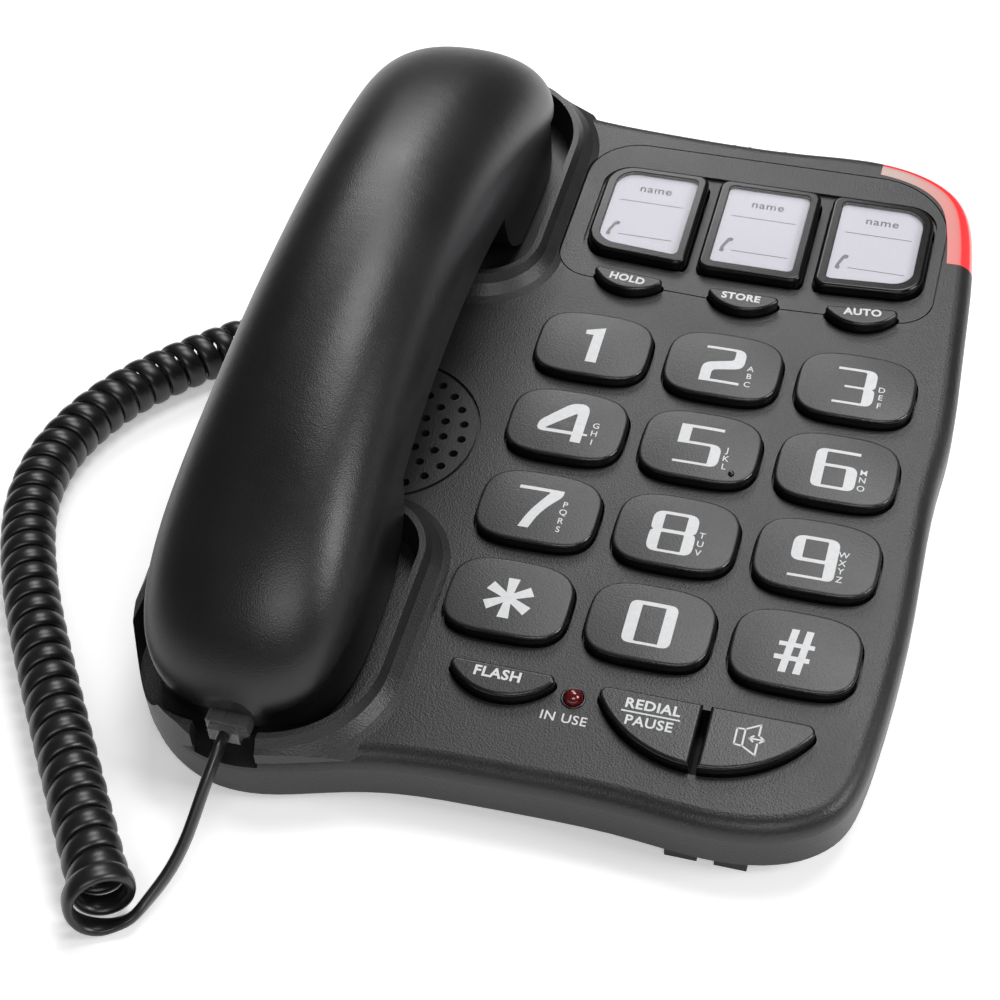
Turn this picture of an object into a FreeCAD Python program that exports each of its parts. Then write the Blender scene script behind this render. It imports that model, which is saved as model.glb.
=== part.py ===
"""Corded big-button desk phone: a tilted base with two cradle cups, a handset lying in them and a curly cord.

Units are millimetres.  Everything that belongs to the base is drawn flat, in the slab frame: X across the
keys, Y to the back, Z out of the face, with Z = 0 on the face.  to_row() then tilts it and stands it on the
table.  The row's origin is the bottom centre of the phone without its cord, front towards -Y, +Z up.
"""
import FreeCAD
import Part
import math
import os
from FreeCAD import Placement, Rotation, Vector

os.makedirs("parts", exist_ok=True)

# ---- driving dimensions -------------------------------------------------------------------------------
TILT = 10.44                 # slope of the face, degrees
SLAB_X = -0.29               # slab origin in the row frame
SLAB_Y = -1.81
SLAB_Z = 36.6
WALL = 2.6                   # wall of the case shells
FACE = 3.0                   # thickness of the top face
PART_Z = -10.5               # parting line between the case shells
RIM_Z = -14.0                # lowest edge of the visible rim
EDGE_R = 4.4                 # rounding of the face's edge
BELLY_FRONT_Y = -76.0
BELLY_BACK_Y = 96.0
BELLY_HALF_W = 72.0
BELLY_FRONT_Z = -19.0
BELLY_BACK_Z = -27.0

KEY_PITCH_X = 33.0
KEY_PITCH_Y = 27.35
KEY_GRID_X = 30.35           # centre of the digit keys
KEY_GRID_Y = -19.75
KEY_W = 29.0
KEY_H = 21.6
KEY_TOP = 3.3
KEY_GAP = 0.5                # gap round a key in its opening
KEY_FOOT_Z = -4.6            # underside of a key's flange
FLANGE_TOP = -3.5            # top of that flange, under the face
FUNCTION_TOP = 3.0           # height of the half-moon keys
MEM_X = 30.0                 # middle one of the three memory keys
MEM_PITCH = 30.3
MEM_HALF_W = 13.6
MEM_Y = (54.3, 88.9)         # front and back of the memory keys
MEM_SLANT = 1.7              # rise of the outer memory keys' front edge
CARD_HALF_W = 11.0
CARD_Y = (57.2, 86.9)
PANEL_T = 1.5                # memory panel plate

MAT_TOP = -6.6
MAT_T = 1.0
BOARD_T = 1.6

HS_X = -54.5                 # handset centre line
HS_Y = 1.5                   # handset's middle
HS_HALF = 110.0              # half length of the handset
HS_MID_W = 22.6              # half width at the grip
HS_END_W = 27.7              # half width at the ends
HS_END_POWER = 9.0
HS_MID_Z = 30.0              # parting line height at the grip
HS_END_Z = 6.0
HS_CROWN = 22.0              # height of the outer shell over its parting line
HS_CROWN_POWER = 6.2
HS_SECTION_POWER = 2.3
HS_WALL = 2.4
PAD_Z = -2.2                 # underside of the ear and mouth pads

CUP_HALF_W = 29.0            # inside of a cradle cup at its rim
CUP_EAR_Y = (38.0, 114.6)    # reach of the ear cup, front to back
CUP_MOUTH_Y = (-111.6, -42.0)
CUP_RIM_Z = 5.5
CUP_FLOOR_Z = -4.0

CORD_D = 2.8                 # straight tails of the handset cord
COIL_D = 14.0                # outside of its coil
COIL_REST_Z = 7.05

# Route of the coil's centre line on the table, front end first, and of the two tails after each plug.
COIL_ROUTE = [(-67, -151.5), (-97.5, -106.6), (-127, -60.5), (-139.5, -27), (-135, 6), (-118, 33), (-105, 46)]
HANDSET_TAIL = [(-53.9, -127, 14), (-54.8, -134.5, 8.8), (-56.8, -141.5, 4.6), (-60.5, -147, 2.3),
                (-66.9, -149, 3.0)]
BASE_TAIL = [(-90.8, 29.2, 21.0), (-96.4, 33.6, 17.2), (-100.6, 39.0, 14.2), (-103.8, 43.2, 12.0),
             (-106.4, 45.2, 9.0)]
TAIL_START = 6.5             # straight run out of each plug


# ---- helpers ------------------------------------------------------------------------------------------
def box(x0, x1, y0, y1, z0, z1):
    return Part.makeBox(x1 - x0, y1 - y0, z1 - z0, Vector(x0, y0, z0))


def cylinder(x, y, z0, z1, radius):
    return Part.makeCylinder(radius, z1 - z0, Vector(x, y, z0), Vector(0, 0, 1))


def prism(wire, z0, z1):
    base = wire.copy()
    base.translate(Vector(0, 0, z0))
    return Part.Face(base).extrude(Vector(0, 0, z1 - z0))


def rounded_polygon(corners):
    """Flat outline at Z = 0 through corners given as (x, y, radius), joined by tangent arcs."""
    count = len(corners)
    runs = []
    for i in range(count):
        x, y, radius = corners[i]
        here = Vector(x, y, 0)
        back = Vector(corners[i - 1][0], corners[i - 1][1], 0) - here
        ahead = Vector(corners[(i + 1) % count][0], corners[(i + 1) % count][1], 0) - here
        half = back.getAngle(ahead) / 2
        back.normalize()
        ahead.normalize()
        cut = radius / math.tan(half)
        inward = back + ahead
        inward.normalize()
        middle = here + inward * (radius / math.sin(half) - radius)
        runs.append((here + back * cut, middle, here + ahead * cut))
    edges = []
    for i in range(count):
        edges.append(Part.Arc(*runs[i]).toShape())
        a = runs[i][2]
        b = runs[(i + 1) % count][0]
        if a.distanceToPoint(b) > 1e-6:
            edges.append(Part.LineSegment(a, b).toShape())
    return Part.Wire(Part.__sortEdges__(edges))


def rounded_rect(x0, x1, y0, y1, front_r, back_r=None):
    """Flat rounded rectangle at Z = 0; its front and back corners may differ."""
    back_r = front_r if back_r is None else back_r
    return rounded_polygon([(x0, y0, front_r), (x1, y0, front_r), (x1, y1, back_r), (x0, y1, back_r)])


def grown(wire, by):
    """A flat outline moved outwards all round."""
    return wire if by == 0 else wire.makeOffset2D(by)


def closed_spline(points):
    curve = Part.BSplineCurve()
    curve.interpolate(points, PeriodicFlag=True)
    return Part.Wire([curve.toShape()])


def super_oval(cx, cy, half_w, half_h, power, count=24):
    """Key outline: bulging sides and soft corners, by the superellipse formula."""
    points = []
    for i in range(count):
        angle = 2 * math.pi * i / count
        c = math.cos(angle)
        s = math.sin(angle)
        scale = (abs(c) ** power + abs(s) ** power) ** (-1 / power)
        points.append(Vector(cx + half_w * c * scale, cy + half_h * s * scale, 0))
    return closed_spline(points)


def half_moon(cx, flat_y, width, depth, turn=0.0, tip_r=1.2):
    """Key outline with a straight back edge, a bowed front edge and rounded tips, turned by some degrees."""
    left = Vector(cx - width / 2, flat_y, 0)
    right = Vector(cx + width / 2, flat_y, 0)
    nose = Vector(cx, flat_y - depth, 0)
    sharp = Part.Wire([Part.LineSegment(left, right).toShape(), Part.Arc(right, nose, left).toShape()])
    wire = sharp.makeOffset2D(-tip_r).makeOffset2D(tip_r)
    wire.rotate(Vector(cx, flat_y, 0), Vector(0, 0, 1), turn)
    return wire


def to_row(shape):
    """Tilt a shape drawn in the slab frame and stand it on the table."""
    placed = shape.copy()
    placed.rotate(Vector(0, 0, 0), Vector(1, 0, 0), TILT)
    placed.translate(Vector(SLAB_X, SLAB_Y, SLAB_Z))
    return placed


def slab_point(x, y, z):
    a = math.radians(TILT)
    across = y * math.cos(a) - z * math.sin(a)
    up = y * math.sin(a) + z * math.cos(a)
    return Vector(SLAB_X + x, SLAB_Y + across, SLAB_Z + up)


made = {}


def write(name, shape, in_slab=True):
    placed = to_row(shape) if in_slab else shape
    if not placed.isValid():
        print("INVALID", name)
    made[name] = placed
    placed.exportStep("parts/%s.step" % name)


# ---- plan of the base ---------------------------------------------------------------------------------
RIM_POINTS = [
    (87.6, 5), (87.2, -35), (84.9, -80), (79.2, -99), (64, -107.2), (35, -107.0), (5, -106.8),
    (-25, -109.4), (-55, -115.2), (-75, -104.2), (-84.6, -84), (-87.2, -40), (-87.6, 5), (-87.3, 45),
    (-85, 86), (-76.5, 106), (-57, 116.6), (-30, 112.6), (0, 109.4), (35, 108.9), (64, 108.2),
    (78.6, 99.5), (84.6, 82), (87.2, 45),
]


def rim(inset):
    """The base's plan outline, moved inwards by inset."""
    curve = Part.BSplineCurve()
    curve.interpolate([Vector(x, y, 0) for x, y in RIM_POINTS], PeriodicFlag=True)
    if inset == 0:
        return Part.Wire([curve.toShape()])
    first = curve.FirstParameter
    span = curve.LastParameter - first
    count = 72
    points = []
    for i in range(count):
        t = first + span * i / count
        along = curve.tangent(t)[0]
        outward = Vector(along.y, -along.x, 0)
        if outward.dot(curve.value(t)) < 0:
            outward = outward.negative()
        points.append(curve.value(t) - outward * inset)
    return closed_spline(points)


def cup_outline(side, grow):
    """Outline of a cradle cup: side is +1 at the ear end and -1 at the mouth end."""
    near = 14.0 + grow
    far = 24.0 + grow
    x0 = HS_X - CUP_HALF_W - grow
    x1 = HS_X + CUP_HALF_W + grow
    if side > 0:
        return rounded_rect(x0, x1, CUP_EAR_Y[0] - grow, CUP_EAR_Y[1] + grow, near, far)
    return rounded_rect(x0, x1, CUP_MOUTH_Y[0] - grow, CUP_MOUTH_Y[1] + grow, far, near)


def tapered(wires_at):
    """Closed solid through outlines given as (wire, height)."""
    placed = []
    for wire, z in wires_at:
        copy = wire.copy()
        copy.translate(Vector(0, 0, z))
        placed.append(copy)
    return Part.makeLoft(placed, True, True)


def digit_centres():
    names = ["key_1", "key_2", "key_3", "key_4", "key_5", "key_6", "key_7", "key_8", "key_9",
             "key_star", "key_0", "key_hash"]
    centres = {}
    for i, name in enumerate(names):
        column = i % 3 - 1
        row = 1.5 - i // 3
        centres[name] = (KEY_GRID_X + column * KEY_PITCH_X, KEY_GRID_Y + row * KEY_PITCH_Y)
    return centres


DIGITS = digit_centres()
MEMORY = [MEM_X + (i - 1) * MEM_PITCH for i in range(3)]
PANEL = [(-20.0, 48.2, 9), (MEM_X, 46.0, 200), (77.3, 48.2, 9), (77.3, 100.7, 20), (-20.0, 100.7, 14)]
TRAY = [(-15.2, 55.6, 7), (MEM_X, 53.4, 200), (74.6, 55.6, 7), (74.6, 91.6, 8), (-15.2, 91.6, 8)]
FLASH = (1.3, -79.5, 26.4, 8.2)         # centre x, flat y, width, depth
SMALL_MOONS = {"hold_key": (0.3, 48.6, -5.2), "store_key": (30.4, 47.6, 0.0), "auto_key": (60.4, 48.6, 6.0)}
SMALL_MOON = (20.0, 6.2)                # width and depth before the tips are rounded
SPLIT_X = 47.4                          # middle of the gap between the redial and speaker keys
SPLIT_HALF = 0.9
MOON = (47.5, -79.7, 50.4, 16.2)        # centre x, flat y, width, depth of that pair


def redial_pair(grow):
    """The big half moon that the redial and speaker keys share."""
    return grown(half_moon(*MOON, tip_r=2.0), grow)


def function_outlines(grow):
    """Outlines of the small half-moon keys, widened by grow."""
    outlines = {"flash_key": grown(half_moon(*FLASH, tip_r=1.5), grow)}
    for name, (x, flat_y, turn) in SMALL_MOONS.items():
        outlines[name] = grown(half_moon(x, flat_y, *SMALL_MOON, turn), grow)
    return outlines


LAMP = (17.95, -82.85)
GRILLE = (-46.0, -14.5)
SCREWS = [(82.3, -58), (82.3, 48), (-80.6, -36), (-80.6, 2)]
BOSS_R = 2.9
JACK_Y = 26.0                # the handset cord's socket in the belly's left wall
JACK_Z = -17.95              # middle of that socket's plug
PLUNGER = (HS_X, 66.0)
PLUNGER_HALF = (4.0, 6.0)


# ---- base, top shell ----------------------------------------------------------------------------------
def lens_region(grow):
    """Space of the ringer lens: a band round the rear right corner, down part of the wall."""
    band = prism(rim(-6), -7.2 - grow, 3).cut(prism(rim(7.0 + grow), -9, 4))
    return band.common(box(57 - grow, 110, 72 - grow, 130, -9, 4))


def outer_body():
    body = prism(rim(0), PART_Z, 0)
    top_edges = [e for e in body.Edges if abs(e.BoundBox.ZMin) < 1e-4 and abs(e.BoundBox.ZMax) < 1e-4]
    return body.makeFillet(EDGE_R, top_edges)


def key_openings():
    cuts = []
    for x, y in DIGITS.values():
        cuts.append(prism(super_oval(x, y, KEY_W / 2 + KEY_GAP, KEY_H / 2 + KEY_GAP, 3.4), -6, 2))
    for outline in function_outlines(KEY_GAP).values():
        cuts.append(prism(outline, -6, 2))
    cuts.append(prism(redial_pair(KEY_GAP), -6, 2))
    for place in range(3):
        cuts.append(prism(memory_outline(place, KEY_GAP), -6, 2))
    cuts.append(cylinder(LAMP[0], LAMP[1], -6, 2, 2.35))
    return cuts


def memory_corners(place, half_w, front, back, small_r, large_r):
    """Corners of a memory key: the outer two have large outer corners and a slanting front edge."""
    x = MEMORY[place]
    left_rise = MEM_SLANT if place == 0 else 0
    right_rise = MEM_SLANT if place == 2 else 0
    left_r = large_r if place == 0 else small_r
    right_r = large_r if place == 2 else small_r
    return [(x - half_w, front + left_rise, left_r), (x + half_w, front + right_rise, right_r),
            (x + half_w, back, right_r), (x - half_w, back, left_r)]


def memory_outline(place, grow):
    return grown(rounded_polygon(memory_corners(place, MEM_HALF_W, *MEM_Y, 3.0, 7.5)), grow)


def card_outline(place, inset):
    return grown(rounded_polygon(memory_corners(place, CARD_HALF_W, *CARD_Y, 1.6, 5.6)), -inset)


def grille_holes():
    holes = [cylinder(GRILLE[0], GRILLE[1], -6, 2, 1.1)]
    for radius, count in ((5.0, 6), (9.6, 12), (14.2, 18), (18.8, 24)):
        for i in range(count):
            angle = 2 * math.pi * i / count
            x = GRILLE[0] + radius * math.cos(angle)
            y = GRILLE[1] + radius * math.sin(angle)
            holes.append(cylinder(x, y, -6, 2, 1.1))
    return holes


def panel_outline(grow):
    return grown(rounded_polygon(PANEL), grow)


def top_shell():
    shell = outer_body()
    footprint = prism(rim(0.01), PART_Z, 12)
    for side in (1, -1):
        collar = tapered([(cup_outline(side, 8.5), -1.0), (cup_outline(side, 5.0), 1.0),
                          (cup_outline(side, 2.6), 3.2), (cup_outline(side, 1.3), CUP_RIM_Z)])
        shell = shell.fuse(collar.common(footprint))
    shell = shell.cut(prism(rim(WALL), PART_Z - 1, -FACE))
    for side in (1, -1):
        tub = tapered([(cup_outline(side, 0.6), CUP_FLOOR_Z - 2.4), (cup_outline(side, 2.2), 0)])
        shell = shell.fuse(tub.common(footprint))
    for x, y in SCREWS:
        shell = shell.fuse(cylinder(x, y, PART_Z, -FACE + 0.5, BOSS_R).common(footprint))
    for side in (1, -1):
        shell = shell.cut(tapered([(cup_outline(side, -1.6), CUP_FLOOR_Z), (cup_outline(side, 0), 7)]))
    shell = shell.cut(prism(panel_outline(0.35), -PANEL_T, 2))
    shell = shell.cut(key_openings())
    ring = cylinder(GRILLE[0], GRILLE[1], -0.8, 2, 22.9).cut(cylinder(GRILLE[0], GRILLE[1], -1, 3, 22.1))
    shell = shell.cut([ring] + grille_holes())
    px, py = PLUNGER
    shell = shell.cut(box(px - PLUNGER_HALF[0] - 0.3, px + PLUNGER_HALF[0] + 0.3,
                          py - PLUNGER_HALF[1] - 0.3, py + PLUNGER_HALF[1] + 0.3, -12, 2))
    shell = shell.cut(lens_region(0.05))
    shell = shell.cut(box(-60.5, -45.5, -125, -107, -3.2, 12))
    for x, y in SCREWS:
        shell = shell.cut(cylinder(x, y, PART_Z - 1, -4.4, 1.2))
    for slot in switch_slots():
        shell = shell.cut(slot)
    return shell


# ---- slide switches in the rear wall ------------------------------------------------------------------
SWITCHES = {"ringer_switch": 18.0, "volume_switch": 34.0, "tone_switch": 50.0}
SWITCH_TRAVEL = 4.0
SWITCH_SLOT_HALF = 4.5       # half length of a switch's slot
SWITCH_CLEAR = 0.5           # gap between knob and slot
SWITCH_KNOB = 2 * (SWITCH_SLOT_HALF - SWITCH_CLEAR) - SWITCH_TRAVEL
SWITCH_Z = -7.2
SWITCH_WALL_Y = 109.0


def switch_slots():
    slots = []
    for x in SWITCHES.values():
        left = x - SWITCH_SLOT_HALF
        right = x + SWITCH_SLOT_HALF
        slots.append(box(left, right, SWITCH_WALL_Y - 6, SWITCH_WALL_Y + 6, SWITCH_Z - 1.8, SWITCH_Z + 1.8))
    return slots


def switch_knob(x):
    """A slide knob at the left end of its slot, on a carrier behind the wall."""
    left = x - SWITCH_SLOT_HALF + SWITCH_CLEAR
    back = SWITCH_WALL_Y
    nub = box(left, left + SWITCH_KNOB, back - 4.4, back + 1.4, SWITCH_Z - 1.3, SWITCH_Z + 1.3)
    carrier = box(left - 2.4, left + 6.4, back - 5.6, back - 4.0, SWITCH_Z - 2.6, SWITCH_Z + 2.6)
    return nub.fuse(carrier).removeSplitter()


# ---- base, bottom shell -------------------------------------------------------------------------------
def belly_slope(offset):
    """Everything above the belly's sloping underside, raised by offset."""
    slope = math.degrees(math.atan2(BELLY_BACK_Z - BELLY_FRONT_Z, BELLY_BACK_Y - BELLY_FRONT_Y))
    block = box(-200, 200, -300, 300, 0, 100)
    block.rotate(Vector(0, 0, 0), Vector(1, 0, 0), slope)
    block.translate(Vector(0, BELLY_FRONT_Y, BELLY_FRONT_Z + offset))
    return block


def belly_depth(y):
    """Height of the belly's underside at y."""
    share = (y - BELLY_FRONT_Y) / (BELLY_BACK_Y - BELLY_FRONT_Y)
    return BELLY_FRONT_Z + share * (BELLY_BACK_Z - BELLY_FRONT_Z)


BOARD = (-24.0, 76.0, -97.0, 99.0)
POSTS = [(-20, -68), (-20, 88), (70, -68), (70, 88)]


def bottom_shell():
    ring = prism(rim(0.45), RIM_Z, PART_Z)
    belly = prism(rounded_rect(-BELLY_HALF_W, BELLY_HALF_W, BELLY_FRONT_Y, BELLY_BACK_Y, 12), -40, RIM_Z + 1)
    shell = ring.fuse(belly.common(belly_slope(0)))
    shell = shell.cut(prism(rim(0.45 + WALL), RIM_Z + 2.3, PART_Z + 1))
    half = BELLY_HALF_W - 2.3
    inside = rounded_rect(-half, half, BELLY_FRONT_Y + 2.3, BELLY_BACK_Y - 2.3, 9.7)
    shell = shell.cut(prism(inside, -40, PART_Z + 1).common(belly_slope(2.3)))
    for x, y in SCREWS:
        shell = shell.fuse(cylinder(x, y, RIM_Z, PART_Z, BOSS_R))
        shell = shell.cut(cylinder(x, y, RIM_Z - 1, PART_Z + 1, 1.35))
        shell = shell.cut(cylinder(x, y, RIM_Z - 1, RIM_Z + 1.6, 2.4))
    for x, y in POSTS:
        shell = shell.fuse(cylinder(x, y, belly_depth(y) + 0.5, MAT_TOP - MAT_T - BOARD_T, 2.4))
    shell = shell.cut(box(-BELLY_HALF_W - 1, -BELLY_HALF_W + 3, JACK_Y - 4.1, JACK_Y + 4.1, -20.5, -14.5))
    shell = shell.cut(line_jack_mouth())
    return shell


LINE_X = 30.0


def line_jack_mouth():
    return box(LINE_X - 5.4, LINE_X + 5.4, BELLY_BACK_Y - 4, BELLY_BACK_Y + 1, -23.4, -15.6)


def line_jack():
    block = box(LINE_X - 7.0, LINE_X + 7.0, BELLY_BACK_Y - 18.3, BELLY_BACK_Y - 2.3, -23.7, -12.0)
    mouth = box(LINE_X - 5.0, LINE_X + 5.0, BELLY_BACK_Y - 15.0, BELLY_BACK_Y, -22.7, -16.0)
    tab = box(LINE_X - 3.0, LINE_X + 3.0, BELLY_BACK_Y - 15.0, BELLY_BACK_Y, -16.5, -14.6)
    return block.cut(mouth).cut(tab)


def base_jack():
    """Socket for the handset cord behind the belly's left wall."""
    wall = 2.3 - BELLY_HALF_W
    block = box(wall, wall + 14.0, JACK_Y - 5.6, JACK_Y + 5.6, -20.9, -13.0)
    socket = box(wall - 1, wall + 12.5, JACK_Y - 4.0, JACK_Y + 4.0, -20.2, -14.6)
    return block.cut(socket)


# ---- desk stand and feet ------------------------------------------------------------------------------
STAND = (-58.0, 58.0, 24.0, 88.0)
FOOT_T = 1.2


def stand_top_cut():
    """Everything below the belly's sloping underside, in the row frame."""
    block = box(-200, 200, -300, 300, -100, 0)
    slope = math.degrees(math.atan2(BELLY_BACK_Z - BELLY_FRONT_Z, BELLY_BACK_Y - BELLY_FRONT_Y))
    block.rotate(Vector(0, 0, 0), Vector(1, 0, 0), slope)
    block.translate(Vector(0, BELLY_FRONT_Y, BELLY_FRONT_Z))
    return to_row(block)


def keyhole(x, y):
    """Wall hook opening: a round hole with a narrow slot towards the back."""
    head = cylinder(x, y, -1, 6, 4.2)
    slot = box(x - 1.9, x + 1.9, y, y + 9.5, -1, 6)
    return head.fuse(slot)


KEYHOLES = [(-30.0, 52.0), (30.0, 52.0)]


def desk_stand():
    x0, x1, y0, y1 = STAND
    outer = prism(rounded_rect(x0, x1, y0, y1, 7), FOOT_T, 45)
    inner = prism(rounded_rect(x0 + 2.6, x1 - 2.6, y0 + 2.6, y1 - 2.6, 4.4), FOOT_T + 2.6, 46)
    stand = outer.cut(inner)
    for x in (-12.0, 12.0):
        stand = stand.fuse(box(x - 1, x + 1, y0 + 1, y1 - 1, FOOT_T + 1, 45))
    for x, y in KEYHOLES:
        stand = stand.cut(keyhole(x, y))
    return stand.common(stand_top_cut())


def stand_feet():
    x0, x1, y0, y1 = STAND
    pads = []
    for x in (x0 + 9, x1 - 9):
        for y in (y0 + 9, y1 - 9):
            pads.append(cylinder(x, y, 0, FOOT_T, 6))
    return Part.makeCompound(pads)


FRONT_FEET_X = (-58.4, -47.4, 47.4, 58.4)


def front_feet():
    """Four small pads under the front edge; their undersides lie on the table."""
    floor = box(-200, 200, -300, 300, 0, 60)
    pads = []
    for x in FRONT_FEET_X:
        pad = to_row(box(x - 3.6, x + 3.6, -106.6, -101.5, -24, RIM_Z))
        pads.append(pad.common(floor))
    return Part.makeCompound(pads)


# ---- keys ---------------------------------------------------------------------------------------------
def crown(x, y, top, radius=170.0):
    return Part.makeSphere(radius, Vector(x, y, top - radius))


def digit_key(x, y):
    cap = prism(super_oval(x, y, KEY_W / 2, KEY_H / 2, 3.4), KEY_FOOT_Z, KEY_TOP + 1)
    cap = cap.common(crown(x, y, KEY_TOP))
    top = [e for e in cap.Edges if e.BoundBox.ZMin > 1]
    cap = cap.makeFillet(0.9, top)
    flange = prism(super_oval(x, y, KEY_W / 2 + 1.2, KEY_H / 2 + 1.2, 3.4), KEY_FOOT_Z, FLANGE_TOP)
    return cap.fuse(flange).removeSplitter()


def moon_key(outline, flange_outline, top):
    cap = prism(outline, KEY_FOOT_Z, top)
    edges = [e for e in cap.Edges if e.BoundBox.ZMin > top - 0.01]
    cap = cap.makeFillet(0.9, edges)
    return cap.fuse(prism(flange_outline, KEY_FOOT_Z, FLANGE_TOP)).removeSplitter()


def redial_key(left):
    """One half of the shared half moon, on its own side of the split."""
    span = (-50, SPLIT_X - SPLIT_HALF) if left else (SPLIT_X + SPLIT_HALF, 150)
    side = box(*span, -120, -60, -9, 9)
    cap = prism(redial_pair(0), KEY_FOOT_Z, FUNCTION_TOP).common(side)
    edges = [e for e in cap.Edges if e.BoundBox.ZMin > FUNCTION_TOP - 0.01]
    cap = cap.makeFillet(0.8, edges)
    flange = prism(redial_pair(0.9), KEY_FOOT_Z, FLANGE_TOP).common(side)
    return cap.fuse(flange).removeSplitter()


def memory_key(place):
    """Black frame of a memory key, with a stepped recess for a card and its window."""
    cap = prism(memory_outline(place, 0), KEY_FOOT_Z, 2.9)
    edges = [e for e in cap.Edges if e.BoundBox.ZMin > 2.8]
    cap = cap.makeFillet(1.0, edges)
    flange = prism(memory_outline(place, 0.9), KEY_FOOT_Z, FLANGE_TOP)
    recess = prism(card_outline(place, 0.0), 1.3, 4)
    return cap.fuse(flange).removeSplitter().cut(recess)


# ---- handset ------------------------------------------------------------------------------------------
def handset_part_z(y):
    """Height of the handset's parting line at y from its middle, an arch along the handset."""
    u = y / HS_HALF
    return HS_MID_Z - (HS_MID_Z - HS_END_Z) * u * u


def handset_half_width(y, inset):
    u = y / HS_HALF
    full = HS_MID_W + (HS_END_W - HS_MID_W) * u * u
    return full * math.sqrt(max(0.0, 1 - abs(u) ** HS_END_POWER)) - inset


SECTION_STATIONS = (0.0, 0.3, 0.55, 0.75, 0.87, 0.94, 0.975, 0.993)


def outer_section(u, inset, skirt):
    """Closed section of the outer shell at share u of its half length, open-sided down to a skirt."""
    y = u * HS_HALF
    half = handset_half_width(y, inset)
    height = HS_CROWN * math.sqrt(1 - abs(u) ** HS_CROWN_POWER) - inset
    base = handset_part_z(y)
    points = []
    for i in range(11):
        s = -math.cos(math.pi * i / 10)
        rise = (1 - abs(s) ** HS_SECTION_POWER) ** (1 / HS_SECTION_POWER)
        points.append(Vector(HS_X + half * s, HS_Y + y, base + height * rise))
    curve = Part.BSplineCurve()
    curve.interpolate(points)
    if skirt == 0:
        return Part.Wire([curve.toShape(), Part.LineSegment(points[-1], points[0]).toShape()])
    down = Vector(0, 0, -skirt)
    corners = [points[-1], points[-1] + down, points[0] + down, points[0]]
    lines = [Part.LineSegment(a, b).toShape() for a, b in zip(corners, corners[1:])]
    return Part.Wire([curve.toShape()] + lines)


def outer_loft(inset, last, skirt=0):
    stations = [u for u in SECTION_STATIONS if u <= last]
    order = [-u for u in reversed(stations) if u > 0] + stations
    return Part.makeLoft([outer_section(u, inset, skirt) for u in order], True, False)


def handset_outline(inset):
    """Plan outline of the handset."""
    stations = [-0.995, -0.97, -0.93, -0.86, -0.72, -0.5, -0.25, 0, 0.25, 0.5, 0.72, 0.86, 0.93, 0.97, 0.995]
    right = [Vector(HS_X + handset_half_width(u * HS_HALF, 0), u * HS_HALF, 0) for u in stations]
    left = [Vector(2 * HS_X - p.x, p.y, 0) for p in reversed(right)]
    scaled = [Vector(HS_X + (p.x - HS_X) * (1 - inset / 25.0), HS_Y + p.y * (1 - inset / HS_HALF), 0)
              for p in right + left]
    return closed_spline(scaled)


def side_profile(raise_bottom, drop_top, shrink):
    """Side view of the inner shell: arched top, two pads below, a high grip between them."""
    end = HS_HALF - shrink + 4
    top = handset_part_z(end) - drop_top
    pad = PAD_Z + raise_bottom
    grip_mid = HS_MID_Z - 9.5 + raise_bottom
    grip_end = handset_part_z(45) - 9.0 + raise_bottom
    outer = 101.0 - shrink
    inner = 57.0 + shrink
    neck = 45.0 + shrink * 0.6

    def at(y, z):
        return Vector(-120, HS_Y + y, z)

    arch = Part.BSplineCurve()
    arch.interpolate([at(end * i / 6, handset_part_z(end * i / 6) - drop_top) for i in range(-6, 7)])
    edges = [
        arch.toShape(),
        Part.LineSegment(at(end, top), at(end, pad + 6)).toShape(),
        Part.LineSegment(at(end, pad + 6), at(outer, pad)).toShape(),
        Part.LineSegment(at(outer, pad), at(inner, pad)).toShape(),
        Part.Arc(at(inner, pad), at((inner + neck) / 2 - 2.4, pad + 7), at(neck, grip_end)).toShape(),
        Part.Arc(at(neck, grip_end), at(0, grip_mid), at(-neck, grip_end)).toShape(),
        Part.Arc(at(-neck, grip_end), at(-(inner + neck) / 2 + 2.4, pad + 7), at(-inner, pad)).toShape(),
        Part.LineSegment(at(-inner, pad), at(-outer, pad)).toShape(),
        Part.LineSegment(at(-outer, pad), at(-end, pad + 6)).toShape(),
        Part.LineSegment(at(-end, pad + 6), at(-end, top)).toShape(),
    ]
    return Part.Face(Part.Wire(edges)).extrude(Vector(160, 0, 0))


PLUG = (-57.8, -48.2, 0.5, 5.9)         # x0, x1, z0, z1 of the clear plug at the mouth end
PLUG_OUT_Y = -112.6
PLUG_IN_Y = -98.0
EAR_Y = HS_Y + 81.0
MOUTH_Y = HS_Y - 81.0


def handset_hollow():
    return side_profile(2.4, -6, 2.6).common(prism(handset_outline(3.4), -20, 60))


def handset_inner_shell():
    body = side_profile(0, 0.3, 0).common(prism(handset_outline(0.9), -20, 60))
    shell = body.cut(handset_hollow())
    shell = shell.cut(box(PLUG[0] - 0.2, PLUG[1] + 0.2, -120, PLUG_IN_Y + 1, PLUG[2] - 0.3, PLUG[3] + 0.2))
    for x, y in HANDSET_SCREWS:
        shell = shell.fuse(cylinder(x, y, PAD_Z + 1, PAD_Z + 8, 2.6))
        shell = shell.cut(cylinder(x, y, PAD_Z - 1, PAD_Z + 9, 1.3))
        shell = shell.cut(cylinder(x, y, PAD_Z - 1, PAD_Z + 1.5, 2.3))
    for side, count in ((1, 9), (-1, 6)):
        for i in range(count):
            angle = 2 * math.pi * i / count
            radius = 5.5 if side > 0 else 3.5
            middle = EAR_Y if side > 0 else MOUTH_Y
            x = HS_X + radius * math.cos(angle)
            y = middle + radius * math.sin(angle)
            shell = shell.cut(cylinder(x, y, PAD_Z - 2, PAD_Z + 4, 0.9))
    return shell


def handset_outer_shell():
    return outer_loft(0, 1.0).cut(outer_loft(HS_WALL, 0.98, 4.0))


HANDSET_SCREWS = [(HS_X - 15, 97), (HS_X + 15, 97)]


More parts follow.
